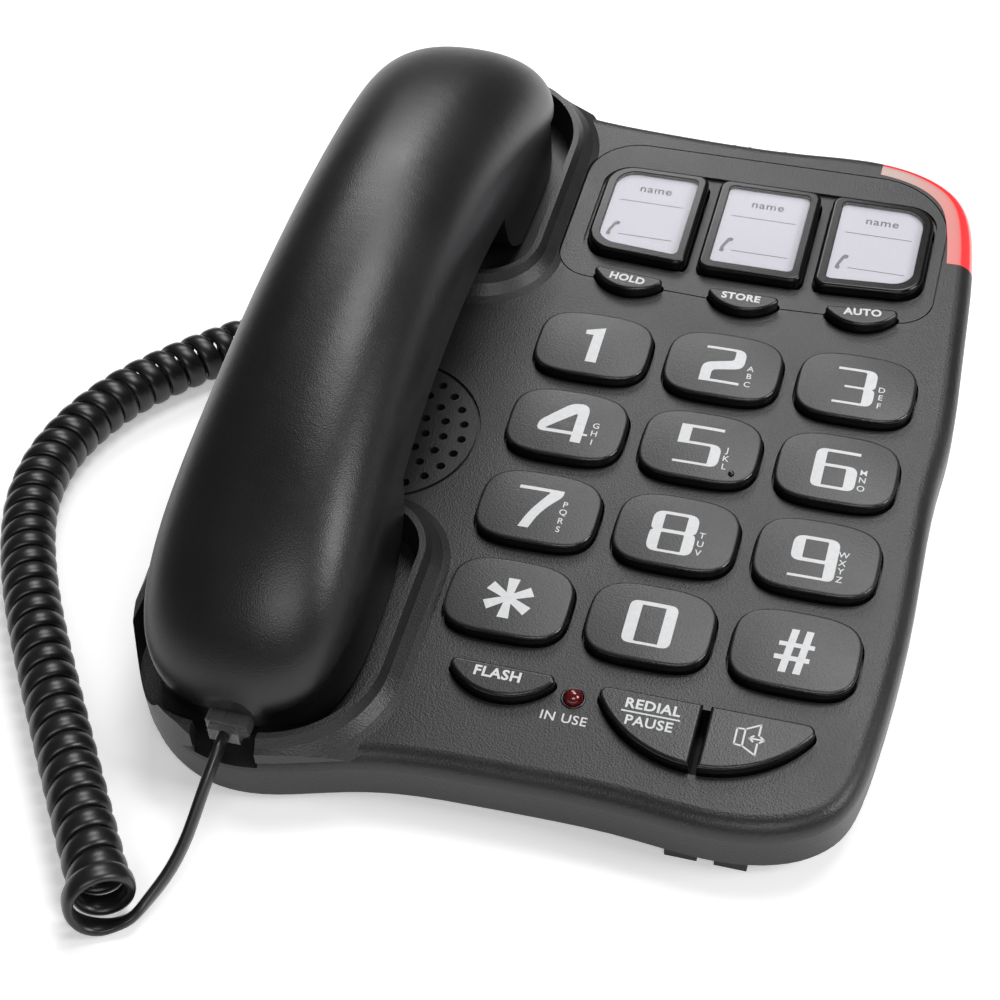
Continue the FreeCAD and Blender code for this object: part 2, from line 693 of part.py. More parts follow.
def handset_jack():
    x0, x1, z0, z1 = PLUG
    block = box(x0 - 2.0, x1 + 2.0, -103.0, -95.0, PAD_Z + 2.5, z1 + 1.3)
    socket = box(x0 - 0.1, x1 + 0.1, -110, PLUG_IN_Y + 0.1, z0 - 3, z1 + 0.1)
    return block.cut(socket).common(handset_hollow())


def handset_plug():
    """Clear modular plug: body, shoulders and the spring latch on its underside."""
    x0, x1, z0, z1 = PLUG
    body = box(x0, x1, PLUG_OUT_Y + 2.0, PLUG_IN_Y, z0 + 1.1, z1)
    rear = box(x0 + 1.2, x1 - 1.2, PLUG_OUT_Y, PLUG_OUT_Y + 2.0, z0 + 1.1, z1 - 0.5)
    latch = box(x0 + 3.0, x1 - 3.0, PLUG_OUT_Y + 1.0, PLUG_IN_Y - 4, z0, z0 + 1.1)
    return body.fuse([rear, latch]).removeSplitter()


BASE_PLUG_X = -77.5


def base_plug():
    body = box(BASE_PLUG_X, BASE_PLUG_X + 17, JACK_Y - 3.8, JACK_Y + 3.8, JACK_Z - 2.1, JACK_Z + 2.1)
    latch = box(BASE_PLUG_X + 0.8, BASE_PLUG_X + 13, JACK_Y - 1.6, JACK_Y + 1.6, JACK_Z + 2.1, JACK_Z + 3.2)
    return body.fuse(latch).removeSplitter()


# ---- cord ---------------------------------------------------------------------------------------------
def rounded_path(points, name):
    """Straight runs joined by tangent arcs, each as large as its two runs allow."""
    edges = []
    start = points[0]
    radii = []
    for before, corner, after in zip(points, points[1:], points[2:]):
        one = before - corner
        two = after - corner
        turn = math.pi - one.getAngle(two)
        cut = 0.45 * min(one.Length, two.Length)
        radius = cut / math.tan(turn / 2)
        radii.append(round(radius, 1))
        one.normalize()
        two.normalize()
        a = corner + one * cut
        b = corner + two * cut
        inward = one + two
        inward.normalize()
        centre = corner + inward * (radius / math.cos(turn / 2))
        middle = centre - inward * radius
        edges.append(Part.LineSegment(start, a).toShape())
        edges.append(Part.Arc(a, middle, b).toShape())
        start = b
    edges.append(Part.LineSegment(start, points[-1]).toShape())
    print(name, "radii", radii)
    return Part.Wire(edges)


def tube(points, diameter, name):
    path = rounded_path(points, name)
    axis = points[1] - points[0]
    section = Part.Wire([Part.makeCircle(diameter / 2, points[0], axis)])
    solid = path.makePipeShell([section], True, False)
    share = solid.Volume / (math.pi * diameter * diameter / 4 * path.Length)
    print(name, "length", round(path.Length, 1), "volume over section times length", round(share, 4))
    return solid


def main():
    write("base_top_shell", top_shell())
    write("base_bottom_shell", bottom_shell())
    write("ringer_lens", lens_region(0).common(outer_body()).cut(prism(rim(WALL), -9, -FACE)))
    write("desk_stand", desk_stand(), False)
    write("stand_feet", stand_feet(), False)
    write("front_feet", front_feet(), False)
    panel = prism(panel_outline(0), -PANEL_T, 0)
    tray = prism(rounded_polygon(TRAY), -0.8, 1)
    write("memory_panel", panel.cut([tray] + key_openings()))
    for name, (x, y) in DIGITS.items():
        write(name, digit_key(x, y))
    caps = function_outlines(0)
    flanges = function_outlines(0.9)
    for name in caps:
        write(name, moon_key(caps[name], flanges[name], FUNCTION_TOP))
    write("redial_key", redial_key(True))
    write("speaker_key", redial_key(False))
    for place in range(3):
        write("memory_key_%d" % (place + 1), memory_key(place))
        write("label_card_%d" % (place + 1), prism(card_outline(place, 0.2), 1.3, 1.7))
        write("card_window_%d" % (place + 1), prism(card_outline(place, 0.15), 1.75, 2.7))
    lamp = cylinder(LAMP[0], LAMP[1], -5.6, 0, 2.2).fuse(Part.makeSphere(2.2, Vector(LAMP[0], LAMP[1], 0)))
    write("in_use_lamp", lamp)
    write("keypad_mat", prism(rounded_rect(-16, 70, -98.5, 95, 4), MAT_TOP - MAT_T, MAT_TOP))
    x0, x1, y0, y1 = BOARD
    board_top = MAT_TOP - MAT_T
    write("main_board", prism(rounded_rect(x0, x1, y0, y1, 6), board_top - BOARD_T, board_top))
    speaker = cylinder(GRILLE[0], GRILLE[1], -6.4, -FACE - 0.1, 20).fuse(
        cylinder(GRILLE[0], GRILLE[1], -14.0, -6.4, 11))
    write("loudspeaker", speaker)
    px, py = PLUNGER
    half_x, half_y = PLUNGER_HALF
    stem = box(px - half_x, px + half_x, py - half_y, py + half_y, -13.5, -2.6)
    flange = box(px - 6, px + 6, py - 8, py + 8, -12.2, -10.7)
    write("hook_plunger", stem.fuse(flange).removeSplitter())
    write("hook_switch", box(px - 9, px + 9, py - 5, py + 5, -21.5, -14.0))
    write("line_jack", line_jack())
    write("base_jack", base_jack())
    for name, x in SWITCHES.items():
        write(name, switch_knob(x))
    write("handset_outer_shell", handset_outer_shell())
    write("handset_inner_shell", handset_inner_shell())
    write("earpiece", cylinder(HS_X, EAR_Y, 0.3, 6.3, 14))
    write("microphone", cylinder(HS_X, MOUTH_Y, 0.3, 4.8, 5))
    write("handset_weight", box(HS_X - 9, HS_X + 9, HS_Y - 30, HS_Y + 30, 24.0, 30.0))
    write("handset_jack", handset_jack())
    write("handset_plug", handset_plug())
    write("base_plug", base_plug())
    middle = ((PLUG[0] + PLUG[1]) / 2, (PLUG[2] + PLUG[3] + 0.6) / 2)
    start = [slab_point(middle[0], PLUG_OUT_Y - away, middle[1]) for away in (0, TAIL_START)]
    write("handset_tail", tube(start + [Vector(*p) for p in HANDSET_TAIL], CORD_D, "handset tail"), False)
    print("handset tail start", start)
    write("cord_coil", tube([Vector(x, y, COIL_REST_Z) for x, y in COIL_ROUTE], COIL_D, "coil"), False)
    start = [slab_point(BASE_PLUG_X - away, JACK_Y, JACK_Z) for away in (0, TAIL_START)]
    write("base_tail", tube(start + [Vector(*p) for p in BASE_TAIL], CORD_D, "base tail"), False)
    print("base tail start", start)
    screws = [cylinder(x, y, RIM_Z + 0.1, RIM_Z + 1.6, 2.3).fuse(cylinder(x, y, RIM_Z + 1.6, -4.6, 1.2))
              for x, y in SCREWS]
    write("case_screws", Part.makeCompound(screws))
    small = [cylinder(x, y, PAD_Z + 0.1, PAD_Z + 1.5, 2.2).fuse(cylinder(x, y, PAD_Z + 1.5, PAD_Z + 8, 1.3))
             for x, y in HANDSET_SCREWS]
    write("handset_screws", Part.makeCompound(small))
    whole = FreeCAD.BoundBox()
    for name, shape in made.items():
        if name not in ("handset_plug", "base_plug", "handset_tail", "cord_coil", "base_tail"):
            whole.add(shape.optimalBoundingBox(False, False))
    print("box", whole)
    print("centre", whole.Center.x, whole.Center.y, "bottom", whole.ZMin)


main()
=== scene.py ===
# %% [markdown]
# # Corded desk telephone with big keys
# The CAD frame gives the phone its sizes, its moving parts and their names. This file gives it its looks:
# the curly cord, the white print on the keys, the little details and every finish. Nothing here moves a CAD
# part. All the places below are millimetres on the tilted face of the phone, or metres in the row frame.

# %% The frame and its box
import math

import bmesh
import bpy
from mathutils import Matrix, Vector


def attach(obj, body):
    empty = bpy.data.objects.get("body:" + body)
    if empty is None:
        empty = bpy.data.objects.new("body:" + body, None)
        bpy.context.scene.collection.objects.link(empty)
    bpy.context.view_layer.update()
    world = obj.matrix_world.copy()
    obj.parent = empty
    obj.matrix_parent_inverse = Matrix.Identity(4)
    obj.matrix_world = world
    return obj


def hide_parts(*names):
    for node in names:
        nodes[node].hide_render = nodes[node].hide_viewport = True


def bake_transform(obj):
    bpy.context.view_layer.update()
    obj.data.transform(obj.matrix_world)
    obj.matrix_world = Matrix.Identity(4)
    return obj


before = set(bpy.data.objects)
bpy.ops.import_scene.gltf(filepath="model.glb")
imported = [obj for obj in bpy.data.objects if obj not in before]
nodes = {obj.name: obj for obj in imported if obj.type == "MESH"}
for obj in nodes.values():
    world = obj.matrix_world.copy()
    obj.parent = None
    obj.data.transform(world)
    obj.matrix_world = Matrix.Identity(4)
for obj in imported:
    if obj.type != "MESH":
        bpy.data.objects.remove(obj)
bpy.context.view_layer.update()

# %% [markdown]
# The face of the phone slopes up to the back. One matrix turns millimetres on that face into metres in the
# row frame, so that print and small details can be drawn flat and then laid on the slope in one step.

# %% The sloping face
MM = 0.001
TILT = math.radians(10.44)
FACE_ORIGIN = Vector((-0.29 * MM, -1.81 * MM, 36.6 * MM))
FACE = Matrix.Translation(FACE_ORIGIN) @ Matrix.Rotation(TILT, 4, "X") @ Matrix.Scale(MM, 4)
print("face origin in the row frame:", tuple(round(c, 4) for c in FACE.translation))

# %% [markdown]
# ## Camera
# The camera stands in front of the phone, a little to its right and well above it, with a short telephoto
# lens, as a product picture is taken.

# %% Camera
CAMERA_PLACE = (0.09433, -0.42095, 0.36533)
CAMERA_AIM = (-0.20529, 0.74185, -0.63838)     # direction in which it looks
LENS, SENSOR = 79.2, 36.0                      # millimetres
camera_data = bpy.data.cameras.new("camera")
camera_data.lens = LENS
camera_data.sensor_width = SENSOR
camera_data.clip_start = 0.01
camera_data.clip_end = 50.0
camera = bpy.data.objects.new("camera", camera_data)
camera.location = CAMERA_PLACE
camera.rotation_euler = Vector(CAMERA_AIM).to_track_quat("-Z", "Y").to_euler()
bpy.context.scene.collection.objects.link(camera)
bpy.context.scene.camera = camera
print("camera", tuple(camera.location), "lens", camera_data.lens)

# %% [markdown]
# ## Handset cord
# The cord is one flat cable, 5.2 by 2.4 mm. It leaves a small socket in the left side of the base, is wound
# into a tight coil that lies on the table, and runs from the coil's open front end up to the handset. Its
# line is a NURBS spline: first the route of the coil's middle, then a helix of control points round that
# route, with the two tails before and after it. The same spline, run through the width directions, says how
# the flat cable is turned at each point, so the tube never twists by chance.

# %% Routes of the cord, in metres
HANDSET_TAIL = [(-0.05329, -0.11318, 0.01964), (-0.05329, -0.11957, 0.01846), (-0.0539, -0.127, 0.014),
                (-0.0546, -0.1345, 0.0088), (-0.0562, -0.1415, 0.0053), (-0.0586, -0.1482, 0.0033),
                (-0.0600, -0.1526, 0.0026)]
COIL_ROUTE = [(-0.064, -0.156, 0.00705), (-0.0975, -0.1066, 0.00705), (-0.127, -0.0605, 0.00705),
              (-0.1395, -0.027, 0.00705), (-0.135, 0.006, 0.00705), (-0.118, 0.033, 0.00705),
              (-0.105, 0.046, 0.00705)]
BASE_TAIL = [(-0.1006, 0.039, 0.0142), (-0.0964, 0.0336, 0.0172), (-0.0908, 0.0292, 0.021),
             (-0.08429, 0.02701, 0.02366), (-0.07779, 0.02701, 0.02366)]


def nurbs_line(points, steps):
    """The points that a NURBS spline with these control points passes through."""
    curve = bpy.data.curves.new("route", "CURVE")
    curve.dimensions = "3D"
    curve.resolution_u = steps
    spline = curve.splines.new("NURBS")
    spline.points.add(len(points) - 1)
    for control, place in zip(spline.points, points):
        control.co = (*place, 1.0)
    spline.order_u = 3
    spline.use_endpoint_u = True
    holder = bpy.data.objects.new("route", curve)
    mesh = bpy.data.meshes.new_from_object(holder)
    line = [v.co.copy() for v in mesh.vertices]
    bpy.data.objects.remove(holder)
    bpy.data.curves.remove(curve)
    bpy.data.meshes.remove(mesh)
    return line


def line_length(line):
    return sum((b - a).length for a, b in zip(line, line[1:]))


coil_axis = nurbs_line(COIL_ROUTE, 60)
print("coil route, metres:", round(line_length(coil_axis), 4))

# %% [markdown]
# The helix has sixteen control points a turn. A spline of this kind cuts a little inside its control points,
# so they stand about 2% further out. The first turn, at the open front end, is wider, as where a cord is
# pulled every day; there the coil's middle is raised so that the wide turn still lies on the table.

# %% The helix
CABLE_WIDTH = 5.2 * MM
CABLE_THICK = 2.4 * MM
COIL_R = 5.65 * MM           # middle of the cable round the coil's own middle
RING_R = 7.9 * MM            # the same for the loose first turn
PER_TURN = 16
TURNS = 38.542               # from just before the bottom of the first turn to the top of the last
START_ANGLE = math.radians(-75)
START_SHARE = 0.004          # how far along the coil's route the helix starts
LOOSE_TURNS = 1.15           # the loose end has drawn in to COIL_R after this many
OUTSET = 1.018               # control points over the line that they give
FLOOR_GAP = 0.05 * MM
UPWARDS = Vector((0, 0, 1))


def along(line, share):
    """Place and level direction of a line at a share of its length."""
    goal = share * line_length(line)
    for a, b in zip(line, line[1:]):
        step = (b - a).length
        if goal <= step or b is line[-1]:
            return a.lerp(b, min(1.0, goal / step)), (b - a).normalized()
        goal -= step


def smooth(x):
    """A share from 0 to 1 that starts and ends gently."""
    x = min(1.0, max(0.0, x))
    return x * x * (3 - 2 * x)


helix = []
helix_width = []
count = round(TURNS * PER_TURN)
for i in range(count + 1):
    turn = i / PER_TURN
    middle, ahead = along(coil_axis, START_SHARE + (1 - START_SHARE) * i / count)
    side = Vector((ahead.y, -ahead.x, 0))
    loose = 1 - smooth(turn / LOOSE_TURNS)
    radius = COIL_R + (RING_R - COIL_R) * loose
    middle.z = radius + CABLE_THICK / 2 + FLOOR_GAP
    angle = START_ANGLE - math.tau * i / PER_TURN
    helix.append(middle + OUTSET * radius * (math.cos(angle) * side + math.sin(angle) * UPWARDS))
    helix_width.append(ahead)
print("helix control points:", len(helix))

# %% [markdown]
# In each tail the flat cable turns on edge, the way it comes off its plug. The width direction goes over
# smoothly from that to the coil's own direction.

# %% The whole cord as one line
ON_EDGE_FRONT = Vector((-0.1, 0.5, -0.86))
ON_EDGE_REAR = Vector((0, 1, 0))
STAY_FRONT = 4               # the front tail is on edge up to this point, counted from 0
TURN_FRONT = 5               # steps in which it would lie down after that
TURN_HELIX = 6               # steps of the change in the helix, which starts half way through it
TURN_REAR = 4                # steps in which the rear tail gets on edge
front_width = [ON_EDGE_FRONT.lerp(helix_width[0], smooth((i - STAY_FRONT) / TURN_FRONT))
               for i in range(len(HANDSET_TAIL))]
for i in range(TURN_HELIX // 2):
    helix_width[i] = ON_EDGE_FRONT.lerp(helix_width[i], smooth((i + TURN_HELIX // 2) / TURN_HELIX))
rear_width = [helix_width[-1].lerp(ON_EDGE_REAR, smooth((i + 1) / TURN_REAR)) for i in range(len(BASE_TAIL))]
controls = [Vector(p) for p in HANDSET_TAIL] + helix + [Vector(p) for p in BASE_TAIL]
cord_line = nurbs_line(controls, 3)
width_line = nurbs_line(front_width + helix_width + rear_width, 3)

# %% [markdown]
# The tube starts as a flat grid, one row of vertices for each point of the line. Each row is bent into the
# cable's rounded flat section, the long seam is merged and both ends are closed.

# %% A tube along a line
def cable(name, line, widths, width, thick, around=12, power=2.4):
    """A flat cable along a line. A power of 2 makes its section an ellipse, and a higher one squares it."""
    bm = bmesh.new()
    rows = len(line) - 1
    bmesh.ops.create_grid(bm, x_segments=rows, y_segments=around, size=1)
    frames = []
    for i, here in enumerate(line):
        ahead = (line[min(i + 1, rows)] - line[max(i - 1, 0)]).normalized()
        wide = (widths[i] - ahead * widths[i].dot(ahead)).normalized()
        frames.append((here, wide, ahead.cross(wide)))
    for v in bm.verts:
        here, wide, flat = frames[round((v.co.x + 1) / 2 * rows)]
        angle = math.tau * (round((v.co.y + 1) / 2 * around) % around) / around
        c, s = math.cos(angle), math.sin(angle)
        scale = (abs(c) ** power + abs(s) ** power) ** (-1 / power)
        v.co = here + wide * (c * scale * width / 2) + flat * (s * scale * thick / 2)
    bmesh.ops.remove_doubles(bm, verts=bm.verts, dist=1e-6)
    bmesh.ops.holes_fill(bm, edges=[e for e in bm.edges if e.is_boundary], sides=around)
    bmesh.ops.recalc_face_normals(bm, faces=bm.faces)
    return finish_mesh(bm, name)


def finish_mesh(bm, name, smooth_shading=True):
    """Turn a bmesh into an object at the origin, with its place in its mesh."""
    mesh = bpy.data.meshes.new(name)
    bm.to_mesh(mesh)
    bm.free()
    for face in mesh.polygons:
        face.use_smooth = smooth_shading
    made = bpy.data.objects.new(name, mesh)
    bpy.context.scene.collection.objects.link(made)
    return made


cord = cable("curly_cord", cord_line, width_line, CABLE_WIDTH, CABLE_THICK)
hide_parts("handset_tail", "cord_coil", "base_tail")
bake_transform(cord)
print("cord faces:", len(cord.data.polygons))

# %% [markdown]
# ## Print
# The digits are wide and square, with thick uprights and thin bars. Each one is an outline of corners, with
# a radius where a corner is soft, and the outlines inside it are its holes. A flat curve fills them. The
# sheet is then cut into small squares, so that it can follow the crown of the key, and given the thickness
# of a coat of paint.

# %% Outlines of the digits, in millimetres from the middle of the key
DIGITS = {
    "1": [[(-0.75, -6.5, 0), (2.05, -6.5, 0), (1.95, 5.7, 0), (-2.75, 4.1, 0), (-2.65, 2.7, 0),
           (-0.65, 2.7, 0)]],
    "2": [[(-5, 5.5, 0), (5.2, 5.5, 2.6), (5.2, -0.9, 2.2), (-2.3, -2.5, 1), (-2.3, -5.6, 0), (5, -5.6, 0),
           (5, -6.4, 0), (-5, -6.4, 0), (-5, -0.4, 2), (2.5, 1.5, 0.9), (2.5, 4.7, 0.5), (-5, 4.7, 0)]],
    "3": [[(-5, 5.4, 0), (4.75, 5.4, 2.4), (4.75, -0.4, 1.2), (3.9, -0.9, 0.3), (4.75, -1.4, 1.2),
           (4.75, -6.6, 2.4), (-5, -6.6, 0), (-5, -5.9, 0), (2.05, -5.9, 0.5), (2.05, -1.25, 0.5),
           (-2.7, -1.25, 0), (-2.7, -0.6, 0), (2.05, -0.6, 0.5), (2.05, 4.6, 0.5), (-5, 4.6, 0)]],
    "4": [[(4.65, 6.5, 3), (4.65, -2.9, 0), (5.75, -2.9, 0), (5.75, -3.5, 0), (4.65, -3.5, 0), (4.6, -6, 0),
           (2.05, -6, 0), (2.05, -3.9, 0), (-6.8, -3.9, 1.9), (-6.8, -0.9, 1.4), (0.2, 6.5, 2.2)],
          [(2.05, -2.9, 0), (2.05, 3.3, 0.8), (-4.9, -2.9, 0.6)]],
    "5": [[(-5.6, 5.9, 0), (4.9, 5.9, 0), (4.9, 5, 0), (-2.9, 5, 0), (-2.9, 0.5, 0), (5.25, 0.5, 2.4),
           (5.25, -6.5, 2.4), (-5.6, -6.5, 0), (-5.6, -5.8, 0), (2.65, -5.8, 0.4), (2.65, -0.3, 0.6),
           (-5.6, -0.3, 0)]],
    "6": [[(-5.6, 5.4, 2.2), (4.9, 5.4, 0), (4.9, 4.5, 0), (-3, 4.5, 0.4), (-3, 0.7, 0), (4.9, 0.7, 2.2),
           (4.9, -6.8, 2.2), (-5.6, -6.8, 2)],
          [(-3, -0.2, 0.3), (2.2, -0.2, 0.4), (2.2, -6, 0.4), (-3, -6, 0.3)]],
    "7": [[(-5.85, 5.6, 0), (4.95, 5.6, 0), (4.95, 3.9, 1.4), (0.8, -1.6, 3.5), (-0.9, -6.9, 0),
           (-3.4, -6.9, 0), (-1.9, -2, 3.5), (1.8, 4.6, 0.2), (-5.85, 4.6, 0)]],
    "8": [[(-6, 5.2, 2.6), (4.85, 5.2, 2.6), (4.85, -0.2, 1.6), (4, -0.65, 0.2), (4.85, -1.1, 1.6),
           (4.85, -7, 2.4), (-6, -7, 2.4), (-6, -1.1, 1.6), (-5.2, -0.65, 0.2), (-6, -0.2, 1.6)],
          [(-3.3, 4.3, 0.4), (2.15, 4.3, 0.4), (2.15, -0.2, 0.4), (-3.3, -0.2, 0.4)],
          [(-3.3, -1.2, 0.4), (2.15, -1.2, 0.4), (2.15, -6.3, 0.4), (-3.3, -6.3, 0.4)]],
    "9": [[(-6, 5.2, 2.6), (4.75, 5.2, 2.4), (4.75, -7.1, 1.8), (-5.8, -7.1, 0), (-5.8, -6.4, 0),
           (2.15, -6.4, 0), (2.15, -2.4, 0), (-6, -2.4, 2.2)],
          [(-3.3, 4.2, 0.4), (2.05, 4.2, 0.4), (2.05, -1.4, 0.4), (-3.3, -1.4, 0.4)]],
    "0": [[(-5.5, 5.5, 2), (5.65, 5.5, 2), (5.65, -6.6, 2), (-5.5, -6.6, 2)],
          [(-2.65, 4.4, 0), (2.85, 4.4, 0), (2.85, -5.9, 0), (-2.65, -5.9, 0)]],
}
star = []
for arm in range(6):
    angle = math.radians(90 - 60 * arm)
    for reach, swing in ((1.7, 30), (5.85, 13.4), (5.85, -13.4)):
        star.append((0.2 + reach * math.cos(angle + math.radians(swing)),
                     -0.7 + reach * math.sin(angle + math.radians(swing)), 0))
DIGITS["star"] = [star]


def leaning(x, y):
    """A place on one of the hash sign's leaning uprights, given where it stands at the sign's middle."""
    return (x + 0.105 * (y + 0.75), y, 0)


UPRIGHTS = (-2.3, -0.6, 1.0, 2.65)
UP, DOWN, TOP, FOOT = (1.5, 0.3), (-2.2, -3.5), 5.3, -6.8
l0, l1, r0, r1 = UPRIGHTS
DIGITS["hash"] = [
    [leaning(l0, TOP), leaning(l1, TOP), leaning(l1, UP[0]), leaning(r0, UP[0]), leaning(r0, TOP),
     leaning(r1, TOP), leaning(r1, UP[0]), (4.1, UP[0], 0), (4.1, UP[1], 0), leaning(r1, UP[1]),
     leaning(r1, DOWN[0]), (3.5, DOWN[0], 0), (3.5, DOWN[1], 0), leaning(r1, DOWN[1]), leaning(r1, FOOT),
     leaning(r0, FOOT), leaning(r0, DOWN[1]), leaning(l1, DOWN[1]), leaning(l1, FOOT), leaning(l0, FOOT),
     leaning(l0, DOWN[1]), (-4.4, DOWN[1], 0), (-4.4, DOWN[0], 0), leaning(l0, DOWN[0]), leaning(l0, UP[1]),
     (-3.9, UP[1], 0), (-3.9, UP[0], 0), leaning(l0, UP[0])],
    [leaning(l1, UP[1]), leaning(r0, UP[1]), leaning(r0, DOWN[0]), leaning(l1, DOWN[0])]]
print("outlines drawn:", sorted(DIGITS))

# %% Flat sheets from outlines and from letters
def softened(outline, steps=5):
    """The outline with each soft corner turned into a short curve."""
    corners = [Vector((x, y)) for x, y, _ in outline]
    points = []
    for i, here in enumerate(corners):
        radius = outline[i][2]
        back, ahead = corners[i - 1] - here, corners[(i + 1) % len(corners)] - here
        if radius == 0:
            points.append(here)
            continue
        a = here + back.normalized() * min(radius, 0.5 * back.length)
        b = here + ahead.normalized() * min(radius, 0.5 * ahead.length)
        for k in range(steps + 1):
            t = k / steps
            points.append(a * (1 - t) ** 2 + here * 2 * t * (1 - t) + b * t * t)
    return points


def sheet_from(data):
    """A bmesh of a flat curve or text, with its doubles merged."""
    holder = bpy.data.objects.new("flat", data)
    mesh = bpy.data.meshes.new_from_object(holder)
    bm = bmesh.new()
    bm.from_mesh(mesh)
    bpy.data.objects.remove(holder)
    bpy.data.meshes.remove(mesh)
    bmesh.ops.remove_doubles(bm, verts=bm.verts, dist=1e-4)
    return bm


def outline_sheet(outlines):
    """A filled sheet from one outer outline and the holes inside it."""
    curve = bpy.data.curves.new("outline", "CURVE")
    curve.dimensions = "2D"
    curve.fill_mode = "BOTH"
    for outline in outlines:
        points = softened(outline)
        spline = curve.splines.new("POLY")
        spline.points.add(len(points) - 1)
        for control, place in zip(spline.points, points):
            control.co = (place.x, place.y, 0, 1)
        spline.use_cyclic_u = True
    return sheet_from(curve)


FONT_OVER_CAPITAL = 1.37


def text_sheet(words, size, bold=0.0, spacing=1.0):
    """Letters of one size, centred on the origin. size is the height of a capital."""
    text = bpy.data.curves.new("words", "FONT")
    text.body = words
    text.size = size * FONT_OVER_CAPITAL
    text.align_x = "CENTER"
    text.align_y = "CENTER"
    text.offset = bold
    text.space_character = spacing
    text.resolution_u = 4
    return sheet_from(text)


def moved(bm, x, y, turn=0.0):
    """The sheet turned by some degrees and then shifted."""
    bmesh.ops.rotate(bm, verts=bm.verts, cent=(0, 0, 0), matrix=Matrix.Rotation(math.radians(turn), 3, "Z"))
    bmesh.ops.translate(bm, verts=bm.verts, vec=(x, y, 0))
    return bm


def joined(sheets):
    """Several sheets as one bmesh."""
    whole = bmesh.new()
    for bm in sheets:
        mesh = bpy.data.meshes.new("part")
        bm.to_mesh(mesh)
        bm.free()
        whole.from_mesh(mesh)
        bpy.data.meshes.remove(mesh)
    return whole


print("a sheet for the digit 8:", len(outline_sheet(DIGITS["8"]).faces), "faces")

# %% [markdown]
# Laying the print on a key: cut the sheet on a fine grid, raise every vertex to the crown's height there,
# pull out a second layer for the thickness, then put the whole thing on the sloping face.

# %% Laying print on a surface
PAINT = 0.07                 # thickness of the coat
SUNK = 0.35                  # share of it that is below the surface, so that no gap shows
GRID = 2
KEY_TOP = 3.3
CROWN_R = 170.0              # the digit keys are slightly domed


def lay(bm, name, x, y, height, crown, body, coat=PAINT):
    """Print at a height on the sloping face, or on a dome of radius crown, riding on a body."""
    lows = [min(v.co[k] for v in bm.verts) for k in (0, 1)]
    highs = [max(v.co[k] for v in bm.verts) for k in (0, 1)]
    if crown:
        for k in (0, 1):
            normal = (1, 0, 0) if k == 0 else (0, 1, 0)
            at = math.ceil(lows[k] / GRID) * GRID
            while at < highs[k]:
                place = (at, 0, 0) if k == 0 else (0, at, 0)
                bmesh.ops.bisect_plane(bm, geom=bm.verts[:] + bm.edges[:] + bm.faces[:], dist=1e-4,
                                       plane_co=place, plane_no=normal)
                at += GRID
    bmesh.ops.recalc_face_normals(bm, faces=bm.faces)
    top = bmesh.ops.extrude_face_region(bm, geom=bm.faces[:])["geom"]
    upper = {v for v in top if isinstance(v, bmesh.types.BMVert)}
    for v in bm.verts:
        sink = (crown - math.sqrt(crown * crown - v.co.x ** 2 - v.co.y ** 2)) if crown else 0.0
        v.co.z = height - sink + (coat * (1 - SUNK) if v in upper else -coat * SUNK)
    bmesh.ops.translate(bm, verts=bm.verts, vec=(x, y, 0))
    bmesh.ops.transform(bm, matrix=FACE, verts=bm.verts)
    bmesh.ops.recalc_face_normals(bm, faces=bm.faces)
    made = finish_mesh(bm, name, False)
    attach(made, body)
    return made


# %% [markdown]
# Each digit key carries its digit, and most have letters in a column at the lower right. The columns stand
# in slightly different places from key to key, so each key has its own row in the table.

# %% Print on the digit keys
KEY_X = (-2.65, 30.35, 63.35)
KEY_Y = (21.275, -6.075, -33.425, -60.775)
LETTERS = {"2": ("ABC", 6.95, (-0.35, -2.9, -5.6)), "3": ("DEF", 6.35, (-0.5, -3.0, -5.7)),
           "4": ("GHI", 7.25, (0.2, -2.3, -5.1)), "5": ("JKL", 6.75, (-0.5, -3.2, -5.7)),
           "6": ("MNO", 6.35, (-0.5, -2.8, -5.4)), "7": ("PQRS", 6.05, (1.6, -0.7, -3.4, -5.9)),
           "8": ("TUV", 6.25, (-0.4, -2.9, -5.5)), "9": ("WXYZ", 5.95, (1.2, -1.2, -3.6, -6.0))}
LETTER_SIZE, LETTER_BOLD = 1.75, 0.02
KEYS = ["1", "2", "3", "4", "5", "6", "7", "8", "9", "star", "0", "hash"]
prints = []
for i, key in enumerate(KEYS):
    sheets = [outline_sheet(DIGITS[key])]
    if key in LETTERS:
        letters, column, rows = LETTERS[key]
        for letter, row in zip(letters, rows):
            sheets.append(moved(text_sheet(letter, LETTER_SIZE, LETTER_BOLD), column, row))
    prints.append(lay(joined(sheets), "print_" + key, KEY_X[i % 3], KEY_Y[i // 3], KEY_TOP, CROWN_R,
                      "key_" + key))
print("digit keys printed:", len(prints))

# %% [markdown]
# The half-moon keys and the case carry short words in plain capitals. The left and right keys of the upper
# row are turned a few degrees, and their words turn with them. A loudspeaker sign is drawn as thin bars.

# %% Words on the small keys and the case
MOON_TOP = 3.0
SPACING = 1.08
WORDS = [("hold_key", "HOLD", 0.2, 45.9, 2.35, -5.2), ("store_key", "STORE", 30.0, 45.35, 2.3, 0),
         ("auto_key", "AUTO", 60.9, 46.6, 2.35, 6), ("flash_key", "FLASH", 0.6, -82.4, 2.7, 0)]
for node, word, x, y, size, turn in WORDS:
    sheet = moved(text_sheet(word, size, 0.11, SPACING), 0, 0, turn)
    prints.append(lay(sheet, "print_" + node, x, y, MOON_TOP, 0, node))
line_sheet = outline_sheet([[(-6.5, -0.2, 0), (6.6, -0.2, 0), (6.6, 0.2, 0), (-6.5, 0.2, 0)]])
redial = joined([moved(text_sheet("REDIAL", 2.6, 0.1, SPACING), 0.1, 2.1), line_sheet,
                 moved(text_sheet("PAUSE", 2.6, 0.07, SPACING), 0.1, -2.3)])
